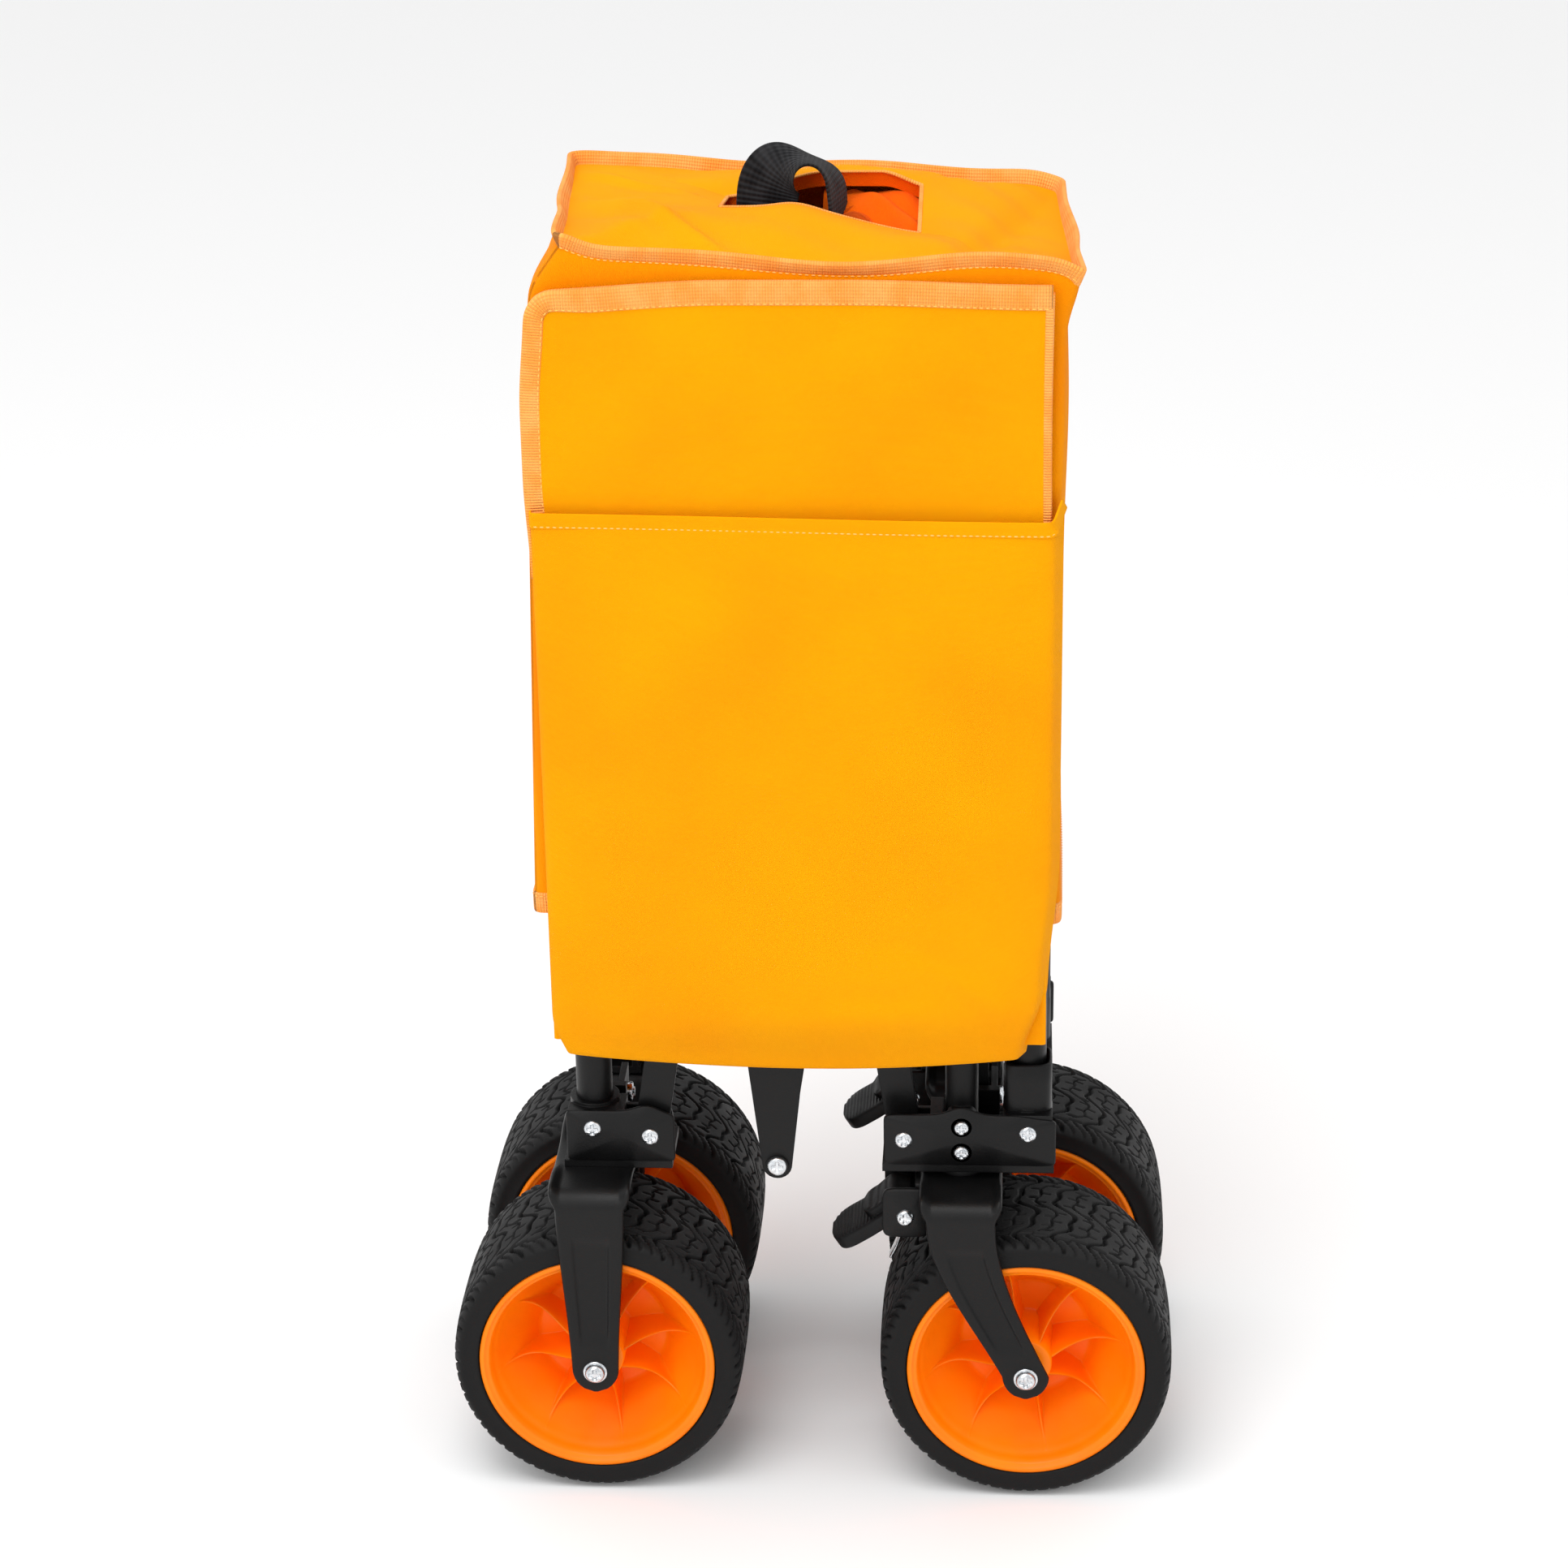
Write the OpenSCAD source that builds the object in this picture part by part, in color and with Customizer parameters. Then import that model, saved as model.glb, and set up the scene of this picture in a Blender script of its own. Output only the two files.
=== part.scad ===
// Folding utility wagon, folded upright on its four wheels with its storage cover on.
// +X is the front (castor) end, -Y is the wagon's right side, +Z is up.
// The origin is on the ground under the middle of the folded wagon.

/* [Wheels] */
// Outer diameter of a tyre
wheel_d = 180; // [170:1:190]
// Width of a tyre
tyre_w = 94; // [84:1:96]
// Diameter of the tyre's seat on the rim
seat_d = 140; // [134:1:144]
// Diameter of the axle bolts
axle_d = 12; // [10:0.5:14]

/* [Frame] */
// Half the distance between front and rear posts when folded
half_base = 132; // [130:0.5:134]
// Half the distance between right and left posts when folded
half_track = 78; // [77:0.5:79]
// Distance between the two end pivots of a cross bar
bar_len = 500; // [480:1:510]
// Sideways run of a cross bar when folded
bar_run = 77; // [76:0.5:78]
// Width of a cross bar
bar_w = 20; // [18:0.5:20]
// Thickness of a cross bar
bar_t = 8; // [6:0.5:8]
// Height of the lower pivots
foot_z = 235; // [233:0.5:238]
// Outer diameter of the lower posts
post_d = 22; // [20:0.5:22]
// Outer diameter of the telescoping upper posts
upper_d = 18; // [16:0.5:18]

/* [Castors] */
// Distance the castor's swivel axis stands behind its wheel's axle
trail = 40; // [38:1:42]
// Outer diameter of the swivel's socket tube
socket_d = 20; // [19:0.5:22]

/* [Cover] */
// Height of the cover's top above the ground at the rear end
cover_top = 789; // [785:1:792]
// Drop of the cover's top from the rear end to the front end
cover_fall = 21; // [10:1:24]
// Height of the cover's lower hem
cover_hem = 372; // [350:1:400]
// Height of the pocket's open hem
pocket_top = 642; // [620:1:660]

/* [Handle] */
// Length of the handle's lower tube
handle_len = 300; // [260:1:310]
// Width of the handle's grip
grip_w = 108; // [90:1:110]

/* [Hidden] */
$fn = 48;

running = 0.05;
loose = 0.6;
wheel_r = wheel_d / 2;
seat_r = seat_d / 2;
axle_r = axle_d / 2;
lip_r = seat_r + 3;
side_y = tyre_w / 2;
pin_r = 3.5;
top_z = foot_z + sqrt(bar_len * bar_len - bar_run * bar_run);
mid_z = (foot_z + top_z) / 2;
lean = asin(bar_run / bar_len);

// Fork: a top plate and two side plates around the tyre
fork_t = 4;
fork_in = side_y + 4;
fork_out = fork_in + fork_t;
fork_z = wheel_r + 114;
arm_end_r = 12.5;

// Clamp: a base plate on the fork with ears for the cross bars
base_z0 = wheel_d + 33;
base_z1 = base_z0 + 5;
ear_t = 3;
ear_top = foot_z + 15;
side_pivot = 35;
brake_z = fork_z - 19;
castor_x = half_base - trail;
rear_foot_x = -half_base + side_pivot;
mid_x = rear_foot_x + bar_run;
front_foot_x = mid_x + bar_run;

// Layers of the cross bars
outer_y = -half_track - 14;
inner_y = -half_track - 4;
right_outer_x = -half_base - 8;
right_inner_x = -half_base + 2;
front_inner_x = castor_x - 2;
front_outer_x = castor_x + 8;
end_pivot = bar_run / 2;
handle_x = castor_x + 35;
handle_z = foot_z + 55;

// Cover
wall = 3;
cover_x0 = -151;
cover_x1 = 154;
cover_y = 103;
pocket_y0 = -139;
pocket_y1 = -cover_y - 1;
panel_y0 = -113;
panel_y1 = -108;

function arc(cx, cy, r, a0, a1, n) = [for (i = [0 : n]) let (a = a0 + (a1 - a0) * i / n)
  [cx + r * cos(a), cy + r * sin(a)]];
function stadium(length, r) = concat(arc(0, 0, r, 180, 360, 12), arc(0, length, r, 0, 180, 12));
function round_box(x0, y0, x1, y1, r) = concat(arc(x1 - r, y0 + r, r, -90, 0, 6),
  arc(x1 - r, y1 - r, r, 0, 90, 6), arc(x0 + r, y1 - r, r, 90, 180, 6),
  arc(x0 + r, y0 + r, r, 180, 270, 6));

// A cylinder along Y from y0 to y1, centred on (x, z)
module rod_y(x, z, r, y0, y1) {
  translate([x, y1, z]) rotate([90, 0, 0]) cylinder(r = r, h = y1 - y0);
}

// A cylinder along X from x0 to x1, centred on (y, z)
module rod_x(y, z, r, x0, x1) {
  translate([x0, y, z]) rotate([0, 90, 0]) cylinder(r = r, h = x1 - x0);
}

// A box between two corners
module block(a, b) {
  translate(a) cube(b - a);
}

// An outline in X and Z carried along Y from y0 to y1
module plate_y(points, y0, y1) {
  translate([0, y1, 0]) rotate([90, 0, 0]) linear_extrude(y1 - y0) polygon(points);
}

// A hexagonal bolt head on Y
module hex_y(x, z, across, y0, y1) {
  translate([x, y1, z]) rotate([90, 0, 0]) cylinder(d = across / cos(30), h = y1 - y0, $fn = 6);
}

// Tyre: ring with rounded shoulders, seated on the rim between its lips
module tyre(x, y) {
  shoulder = concat(arc(wheel_r - 14, side_y - 14, 14, 0, 70, 7), [[lip_r + 1, side_y]],
    [[lip_r + 1, side_y - 4], [seat_r, side_y - 4]]);
  lower = [for (i = [len(shoulder) - 1 : -1 : 0]) [shoulder[i][0], -shoulder[i][1]]];
  color([0.13, 0.13, 0.14]) translate([x, y, wheel_r]) rotate([90, 0, 0])
    rotate_extrude($fn = 96) polygon(concat(shoulder, lower));
}

// Outline of one wavy rib of the rim, from the hub to the barrel
function rib_edge(side) = [for (i = [0 : 10]) let (s = i / 10)
  [16 + s * (seat_r - 20), 5 * sin(360 * s) + side * (1.6 + 1.2 * s)]];

// Rim: barrel with lips, a bowl on each side, a hub with a bore and wavy ribs
module rim(x, y) {
  lip_y = side_y - 0.5;
  barrel = [[seat_r - 5, -lip_y], [lip_r, -lip_y], [lip_r, -side_y + 4], [seat_r, -side_y + 4],
    [seat_r, side_y - 4], [lip_r, side_y - 4], [lip_r, lip_y], [seat_r - 5, lip_y],
    [seat_r - 6, side_y - 16], [20, side_y - 34], [20, side_y - 12], [14, side_y - 6],
    [axle_r + running, side_y - 6], [axle_r + running, 6 - side_y], [14, 6 - side_y],
    [20, 12 - side_y], [20, 34 - side_y], [seat_r - 6, 16 - side_y]];
  color([1, 0.45, 0.05]) translate([x, y, wheel_r]) rotate([90, 0, 0]) {
    rotate_extrude($fn = 96) polygon(barrel);
    for (a = [0 : 45 : 315]) rotate(a + 11)
      translate([0, 0, 10 - side_y]) linear_extrude(2 * side_y - 20)
        polygon(concat(rib_edge(-1), [for (i = [10 : -1 : 0]) rib_edge(1)[i]]));
  }
}

// Straight fork arm: wide at the top, tapering to a round end at the axle
function straight_arm(x) = concat(arc(x, wheel_r, arm_end_r, 188, 352, 10),
  [[x + 21, fork_z - 8], [x + 25, fork_z - 2], [x + 25, fork_z], [x - 25, fork_z],
  [x - 25, fork_z - 2], [x - 21, fork_z - 8]]);

// Swept fork arm: falls from the swivel and curves out to the axle
function sweep_x(s) = castor_x + trail * s * s * (1.7 - 0.7 * s);
function swept_edge(side) = [for (i = [0 : 12]) let (s = i / 12)
  [sweep_x(s) + side * (23 - 10.5 * s), fork_z - 8 - s * (fork_z - 8 - wheel_r - 6)]];
function swept_arm() = concat([for (i = [12 : -1 : 0]) swept_edge(-1)[i]],
  [[castor_x - 25, fork_z], [castor_x + 25, fork_z]], swept_edge(1),
  arc(half_base, wheel_r, arm_end_r, 10, -190, 12));

// Fork for a wheel at y: two side plates, a top plate and its stiffening ridges
module fork(arm, x, y, drop) {
  difference() {
    union() {
      for (s = [-1, 1]) {
        plate_y(arm, min(y + s * fork_in, y + s * fork_out), max(y + s * fork_in, y + s * fork_out));
        block([x - 25, y - fork_out, fork_z], [x + 25, y + fork_out, base_z0 - drop]);
        block([x + s * 23 - 2, y - fork_out, base_z0 - drop], [x + s * 23 + 2, y - 30, base_z0 + 4 - drop]);
      }
    }
    rod_y(sign(x) * half_base, wheel_r, axle_r, y - fork_out - 1, y + fork_out + 1);
  }
}

module fork_rear(y) {
  color([0.12, 0.12, 0.13]) fork(straight_arm(-half_base), -half_base, y, 0);
}

// Castor fork with its swivel stem
module fork_front(y) {
  color([0.12, 0.12, 0.13]) {
    fork(swept_arm(), castor_x, y, 5);
    translate([castor_x, y, base_z0 - 5]) cylinder(r = 7, h = 110);
    translate([castor_x, y, base_z0 - 5]) cylinder(r = 15, h = 4.6);
    difference() {
      union() {
        for (s = [-1, 1])
          block([castor_x - 42, y + s * 24 - 2, brake_z - 10], [castor_x - 23, y + s * 24 + 2, fork_z + 2]);
        block([castor_x - 28, y - 26, fork_z - 14], [castor_x - 23, y + 26, fork_z + 2]);
      }
      rod_y(castor_x - 34, brake_z, 3, y - 30, y + 30);
    }
  }
}

// Axle bolt with a hexagonal head and a nut
module axle(x, y) {
  color([0.75, 0.77, 0.8]) {
    rod_y(x, wheel_r, axle_r, y - fork_out - 3, y + fork_out + 3);
    hex_y(x, wheel_r, 19, y - fork_out - 7, y - fork_out);
    hex_y(x, wheel_r, 19, y + fork_out, y + fork_out + 7);
  }
}

// Upright ear that carries one end of a cross bar, with its pin hole
module side_ears(x, web_x) {
  difference() {
    union() {
      for (y = [-97, -73]) plate_y(concat(arc(x, foot_z, 12, 0, 180, 10),
        [[x - 12, base_z0 + 2], [x + 12, base_z0 + 2]]), y, y + ear_t);
      block([web_x - 4, -97, base_z0 + 2], [web_x + 4, -70, ear_top]);
      for (y = [-97, -73]) block([min(x, web_x), y, foot_z - 9], [max(x, web_x), y + ear_t, foot_z + 9]);
    }
    rod_y(x, foot_z, pin_r, -100, -60);
  }
}

// Lower clamp of the right side: base plate, post sleeve and ears
module clamp_body(x, foot_x, x0, x1, end_x) {
  web = foot_x + sign(x) * 20;
  difference() {
    union() {
      block([x0, -97, base_z0], [x1, -52, base_z1]);
      translate([x, -half_track, base_z1]) cylinder(d = post_d + 8, h = ear_top - base_z1 + 4);
      side_ears(foot_x, web);
      block([x - 15, -97, base_z1], [x + 15, -half_track - 8, ear_top + 2]);
      block([end_x - 16, -62, base_z0], [end_x + 16, -28, base_z1]);
      block([end_x - 16, -60, base_z1], [end_x + 16, -54, ear_top]);
      for (s = [-1, 1]) difference() {
        block([end_x + s * 12.5 - 2, -60, base_z1], [end_x + s * 12.5 + 2, -28, ear_top]);
        rod_x(-end_pivot, foot_z, pin_r, end_x - 20, end_x + 20);
      }
    }
    translate([x, -half_track, base_z0 - 1]) cylinder(d = post_d, h = 60);
    rod_y(x, base_z1 + 22, 3, -98, -half_track - 8);
    rod_y(foot_x, foot_z, pin_r, -100, -60);
  }
}

module clamp_rear() {
  color([0.1, 0.1, 0.11])
    clamp_body(-half_base, rear_foot_x, -half_base - 18, rear_foot_x + 13, -131);
}

module clamp_front() {
  color([0.1, 0.1, 0.11]) difference() {
    union() {
      clamp_body(half_base, front_foot_x, front_foot_x - 13, half_base + 16, castor_x + 7);
      translate([castor_x, -half_track, base_z1]) cylinder(d = socket_d, h = 112);
      plate_y(round_box(castor_x - 9, base_z1, castor_x + 9, base_z1 + 35, 5), -97, -half_track - 8);
    }
    translate([castor_x, -half_track, base_z0 - 1]) cylinder(r = 7 + running, h = 112);
    for (z = [base_z1 + 9, base_z1 + 26]) rod_y(castor_x, z, 2.5, -98, -92);
  }
}

// Bolts of the right side: pivot pins and clamp screws
module pivot_bolts(foot_x, post_x, end_x) {
  rod_y(foot_x, foot_z, pin_r, -97, -70);
  hex_y(foot_x, foot_z, 11, -101, -97);
  hex_y(foot_x, foot_z, 11, -70, -66.5);
  rod_x(-end_pivot, foot_z, pin_r, end_x - 14.5, end_x + 14.5);
  translate([end_x - 18, -end_pivot, foot_z]) rotate([0, 90, 0]) cylinder(d = 12.7, h = 3.5, $fn = 6);
  translate([end_x + 14.5, -end_pivot, foot_z]) rotate([0, 90, 0]) cylinder(d = 12.7, h = 3.5, $fn = 6);
  rod_y(post_x, base_z1 + 22, 3, -97, -half_track - post_d / 2);
  hex_y(post_x, base_z1 + 22, 10, -101, -97);
}

module bolts_rear() {
  color([0.75, 0.77, 0.8]) {
    pivot_bolts(rear_foot_x, -half_base, -131);
    axle(-half_base, -half_track);
  }
}

module bolts_front() {
  color([0.75, 0.77, 0.8]) {
    pivot_bolts(front_foot_x, half_base, castor_x + 7);
    for (z = [base_z1 + 9, base_z1 + 26]) {
      rod_y(castor_x, z, 2.5, -97, -92);
      rod_y(castor_x, z, 6.5, -98.2, -97);
      rod_y(castor_x, z, 4.2, -100.5, -98.2);
    }
  }
}

// Lower post: a tube clamped at its foot
module post(x) {
  color([0.13, 0.13, 0.14]) translate([x, -half_track, base_z0 + 2]) difference() {
    cylinder(d = post_d, h = 340);
    translate([0, 0, -1]) cylinder(d = upper_d + loose, h = 342);
  }
}

// Upper post: slides inside the lower one
module upper_post(x) {
  color([0.2, 0.2, 0.21]) translate([x, -half_track, 378]) difference() {
    cylinder(d = upper_d, h = top_z + 16 - 378);
    translate([0, 0, -1]) cylinder(d = upper_d - 3, h = top_z + 10 - 378);
  }
}

// Top cap: socket on the upper post with ears for a side bar and an end bar
module top_cap(x, foot_x, end_x, side_joined) {
  web = foot_x + sign(x) * 20;
  side_pin = side_joined ? pin_r : pin_r - loose;
  color([0.09, 0.09, 0.1]) {
    difference() {
      union() {
        translate([x, -half_track, top_z - 16]) cylinder(d = upper_d + 9, h = 36);
        block([min(x, web), -97, top_z - 10], [max(x, web), -70, top_z + 10]);
        block([web - 4, -97, top_z - 10], [web + 4, -70, top_z + 10]);
        for (y = [-97, -73]) plate_y(concat(arc(foot_x, top_z, 10, 0, 360, 24)), y, y + ear_t);
        for (y = [-97, -73]) block([min(foot_x, web), y, top_z - 10], [max(foot_x, web), y + ear_t, top_z + 10]);
        block([min(x, end_x) - 12, -66, top_z - 10], [max(x, end_x) + 12, -54, top_z + 10]);
      }
      translate([x, -half_track, top_z - 17]) cylinder(d = upper_d, h = 33);
    }
    rod_y(foot_x, top_z, side_pin, -95, -71);
    for (s = [-1, 1])
      block([end_x + s * 12.5 - 2, -60, top_z - 10], [end_x + s * 12.5 + 2, -29, top_z + 10]);
    rod_x(-end_pivot, top_z, pin_r, end_x - 12, end_x + 12);
  }
}

// Cross bar of the right side, drawn from its lower pivot, leaning by the given angle.
// low, mid and high are the radii of its holes, 0 for none.
module side_bar(x, y0, angle, low, mid, high) {
  translate([x, 0, foot_z]) rotate([0, angle, 0]) difference() {
    plate_y(stadium(bar_len, bar_w / 2), y0, y0 + bar_t);
    if (low > 0) rod_y(0, 0, low, y0 - 1, y0 + bar_t + 1);
    if (mid > 0) rod_y(0, bar_len / 2, mid, y0 - 1, y0 + bar_t + 1);
    if (high > 0) rod_y(0, bar_len, high, y0 - 1, y0 + bar_t + 1);
  }
}

// Rivet standing out of an outer bar through its inner neighbour
module rivet_y(x, z, r) {
  rod_y(x, z, r, outer_y - 1, inner_y + bar_t + 1.6);
  rod_y(x, z, 7, outer_y - 1.6, outer_y);
  rod_y(x, z, 6, inner_y + bar_t + 0.4, inner_y + bar_t + 2);
}

module bar_1() {
  color([0.14, 0.14, 0.15]) {
    side_bar(rear_foot_x, outer_y, lean, pin_r + running, 0, 0);
    rivet_y((rear_foot_x + mid_x) / 2, mid_z, pin_r);
    rivet_y(mid_x, top_z, pin_r - loose);
  }
}

module bar_2() {
  color([0.17, 0.17, 0.18])
    side_bar(mid_x, inner_y, -lean, pin_r + running, pin_r + running, pin_r + running);
}

module bar_3() {
  color([0.14, 0.14, 0.15]) {
    side_bar(mid_x, outer_y, lean, 0, 0, pin_r + running);
    plate_y(concat(arc(mid_x, foot_z - 20, 9, 190, 350, 10), [[mid_x + 17, foot_z + 50],
      [mid_x - 17, foot_z + 50]]), outer_y - 3, outer_y + 2);
    rod_y(mid_x, foot_z - 20, 7, outer_y - 4.8, outer_y - 2);
    rivet_y(mid_x, foot_z, pin_r);
    rivet_y((front_foot_x + mid_x) / 2, mid_z, pin_r);
  }
}

module bar_4() {
  color([0.17, 0.17, 0.18])
    side_bar(front_foot_x, inner_y, -lean, pin_r + running, pin_r + running, pin_r + running);
}

// Cross bar of an end, drawn from its lower pivot; side is -1 from the right, 1 from the left
module end_bar(x0, side, low, mid, high) {
  translate([0, side * end_pivot, foot_z]) rotate([side * lean, 0, 0]) difference() {
    translate([x0, 0, 0]) rotate([90, 0, 90]) linear_extrude(bar_t) polygon(stadium(bar_len, bar_w / 2));
    if (low > 0) rod_x(0, 0, low, x0 - 1, x0 + bar_t + 1);
    if (mid > 0) rod_x(0, bar_len / 2, mid, x0 - 1, x0 + bar_t + 1);
    if (high > 0) rod_x(0, bar_len, high, x0 - 1, x0 + bar_t + 1);
  }
}

module bar_rear_1() {
  color([0.14, 0.14, 0.15]) {
    end_bar(right_outer_x, -1, pin_r + running, 0, pin_r + running);
    rod_x(0, mid_z, pin_r, right_outer_x - 1, right_inner_x + bar_t + 1);
    rod_x(0, mid_z, 7, right_outer_x - 1.6, right_outer_x);
    rod_x(0, mid_z, 6, right_inner_x + bar_t + 0.4, right_inner_x + bar_t + 2);
  }
}

module bar_rear_2() {
  color([0.17, 0.17, 0.18])
    end_bar(right_inner_x, 1, pin_r + running, pin_r + running, pin_r + loose);
}

module bar_front_1() {
  color([0.14, 0.14, 0.15]) {
    end_bar(front_outer_x, -1, pin_r + running, 0, pin_r + loose);
    rod_x(0, mid_z, pin_r, front_inner_x - 1, front_outer_x + bar_t + 6);
    rod_x(0, mid_z, 7, front_outer_x + bar_t, front_outer_x + bar_t + 1.6);
    rod_x(0, mid_z, 6, front_inner_x - 2, front_inner_x - 0.4);
  }
}

module bar_front_2() {
  color([0.17, 0.17, 0.18])
    end_bar(front_inner_x, 1, pin_r + loose, pin_r + running, pin_r + loose);
}

// Brake pedal: a ridged pad on a hub that turns on the castor's ears
module brake_pedal() {
  color([0.08, 0.08, 0.09]) translate([castor_x - 34, -half_track, brake_z]) {
    rod_y(0, 0, 3 - running, -24, 24);
    rod_y(0, 0, 7.5, -21, 21);
    plate_y([[-4, -6], [-34, -29], [-38, -29], [-40, -26], [-38, -20], [-7, 7], [0, 7], [0, -6]], -17, 17);
    plate_y([[-22, -14], [-22, -4], [-10, 10], [-2, 12], [2, 6], [0, -4]], -15, 15);
    for (i = [0 : 2]) plate_y([[-37 + 5 * i, -21 + 4 * i], [-35.5 + 5 * i, -16 + 4 * i],
      [-34 + 5 * i, -15.5 + 4 * i], [-32 + 5 * i, -19 + 4 * i]], -15, 15);
  }
}

// Brake blade: a sprung steel tongue that the pedal presses onto the tyre
module brake_blade() {
  color([0.75, 0.77, 0.8]) translate([castor_x - 34, -half_track, brake_z]) difference() {
    plate_y([[-2, -4], [5, -4], [-2, -20], [-7, -41], [-9, -41.4], [-5, -20]], -9, 9);
    rod_y(0, 0, 7.5, -10, 10);
  }
}

// Handle bracket hanging from the front crossing
module handle_bracket() {
  x0 = front_outer_x + bar_t + 2;
  color([0.1, 0.1, 0.11]) difference() {
    union() {
      block([x0, -14, 276], [x0 + 4, 14, mid_z + 13]);
      for (y = [-17, 13]) block([x0, y, 276], [x0 + 28, y + 4, 304]);
      for (y = [-17, 13]) block([x0, y, 300], [x0 + 6, y + 4, 330]);
    }
    rod_x(0, mid_z, pin_r + running, x0 - 1, x0 + 5);
    rod_y(handle_x, handle_z, 4, -18, 18);
  }
}

module handle_lower_tube() {
  color([0.15, 0.15, 0.16]) {
    difference() {
      translate([handle_x, 0, handle_z - 6]) cylinder(d = 22, h = handle_len - 3);
      translate([handle_x, 0, handle_z + 12]) cylinder(d = upper_d + loose, h = handle_len);
    }
    rod_y(handle_x, handle_z, 4 - running, -18, 18);
  }
}

module handle_upper_tube() {
  color([0.5, 0.5, 0.52]) translate([handle_x, 0, handle_z + 20]) cylinder(d = upper_d, h = 422);
}

module handle_grip() {
  z = handle_z + 442;
  color([0.06, 0.06, 0.07]) difference() {
    union() {
      translate([handle_x, 0, z - 18]) cylinder(d = 25, h = 18);
      rod_y(handle_x, z + 8, 11, -grip_w / 2, grip_w / 2);
    }
    translate([handle_x, 0, z - 19]) cylinder(d = upper_d, h = 19);
  }
}

// Folded fabric tub held between the bars
module tub_fabric() {
  color([1, 0.35, 0.05]) translate([0, 0, 300])
    linear_extrude(452) polygon(round_box(-106, -62, 80, 62, 18));
}

// Pull strap: a closed loop of webbing sewn to the middle of the tub's floor
module pull_strap() {
  x = -6;
  color([0.05, 0.05, 0.06]) translate([0, 0, 782]) difference() {
    plate_y(concat([[x - 31, -30]], arc(x, 0, 31, 180, 0, 18), [[x + 31, -30]]), -11, 27);
    plate_y(concat([[x - 28.5, -31]], arc(x, 0, 28.5, 180, 0, 18), [[x + 28.5, -31]]), -12, 28);
  }
}

// Outline of the cover from the side, smaller by d, with its top sloping down to the front
function cover_outline(d, z) = concat([[cover_x0 + d, z]], arc(cover_x0 + 14, cover_top - 14, 14 - d, 180, 90, 6),
  arc(cover_x1 - 14, cover_top - cover_fall - 14, 14 - d, 90, 0, 6), [[cover_x1 - d, z]]);

// Cover hood: open below, with a slot in its top for the strap
module cover_hood() {
  color([1, 0.66, 0.08]) difference() {
    plate_y(cover_outline(0, cover_hem), -cover_y, cover_y);
    plate_y(cover_outline(wall, cover_hem - 1), wall - cover_y, cover_y - wall);
    block([-46, -22, cover_top - 50], [66, 36, cover_top + 5]);
  }
}

// Pocket sewn to the cover's front: open above, with room for the stiff panel
module cover_pocket() {
  outline = [[-151, 306], [-142, 296], [122, 298], [136, 345], [146, 420], [148, pocket_top - 6],
    [-151, pocket_top]];
  inside = [[-149, 312], [-140, 302], [124, 304], [134, 350], [144, 420], [146, pocket_top + 20],
    [-149, pocket_top + 20]];
  color([1, 0.62, 0.05]) difference() {
    plate_y(outline, pocket_y0, pocket_y1);
    plate_y(inside, pocket_y0 + wall, pocket_y1 - 2);
  }
}

// Stiff panel carried in the pocket, with a bound edge
module stiff_panel() {
  color([1, 0.6, 0.05])
    plate_y([[-146, 346], [-138, 306], [118, 310], [131, 352], [142, 430], [142, 758], [138, 764], [132, 766],
      [-134, 766], [-142, 764], [-146, 758]], panel_y0, panel_y1);
}

// Copies of a right-hand part on the left side
module left_side() {
  mirror([0, 1, 0]) children();
}

tyre(-half_base, -half_track);  // tyre_rear_right
tyre(half_base, -half_track);  // tyre_front_right
tyre(half_base, half_track);  // tyre_front_left
tyre(-half_base, half_track);  // tyre_rear_left
rim(-half_base, -half_track);  // rim_rear_right
rim(half_base, -half_track);  // rim_front_right
rim(half_base, half_track);  // rim_front_left
rim(-half_base, half_track);  // rim_rear_left
fork_rear(-half_track);  // fork_rear_right
fork_front(-half_track);  // fork_front_right
left_side() fork_front(-half_track);  // fork_front_left
left_side() fork_rear(-half_track);  // fork_rear_left
axle(half_base, -half_track);  // axle_front_right
axle(half_base, half_track);  // axle_front_left
clamp_rear();  // clamp_rear_right
clamp_front();  // clamp_front_right
left_side() clamp_front();  // clamp_front_left
left_side() clamp_rear();  // clamp_rear_left
bolts_rear();  // bolts_rear_right
bolts_front();  // bolts_front_right
left_side() bolts_front();  // bolts_front_left
left_side() bolts_rear();  // bolts_rear_left
post(-half_base);  // post_rear_right
post(half_base);  // post_front_right
left_side() post(half_base);  // post_front_left
left_side() post(-half_base);  // post_rear_left
upper_post(-half_base);  // upper_post_rear_right
upper_post(half_base);  // upper_post_front_right
left_side() upper_post(half_base);  // upper_post_front_left
left_side() upper_post(-half_base);  // upper_post_rear_left
top_cap(-half_base, rear_foot_x, -131, true);  // top_cap_rear_right
top_cap(half_base, front_foot_x, castor_x + 7, true);  // top_cap_front_right
left_side() top_cap(half_base, front_foot_x, castor_x + 7, true);  // top_cap_front_left
left_side() top_cap(-half_base, rear_foot_x, -131, false);  // top_cap_rear_left
bar_1();  // bar_right_1
bar_2();  // bar_right_2
bar_3();  // bar_right_3
bar_4();  // bar_right_4
left_side() bar_1();  // bar_left_1
left_side() bar_2();  // bar_left_2
left_side() bar_3();  // bar_left_3
left_side() bar_4();  // bar_left_4
bar_rear_1();
bar_rear_2();
bar_front_1();
bar_front_2();
brake_pedal();  // brake_pedal_right
left_side() brake_pedal();  // brake_pedal_left
brake_blade();  // brake_blade_right
left_side() brake_blade();  // brake_blade_left
handle_bracket();
handle_lower_tube();
handle_upper_tube();
handle_grip();
tub_fabric();
pull_strap();
cover_hood();
cover_pocket();
stiff_panel();
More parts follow.
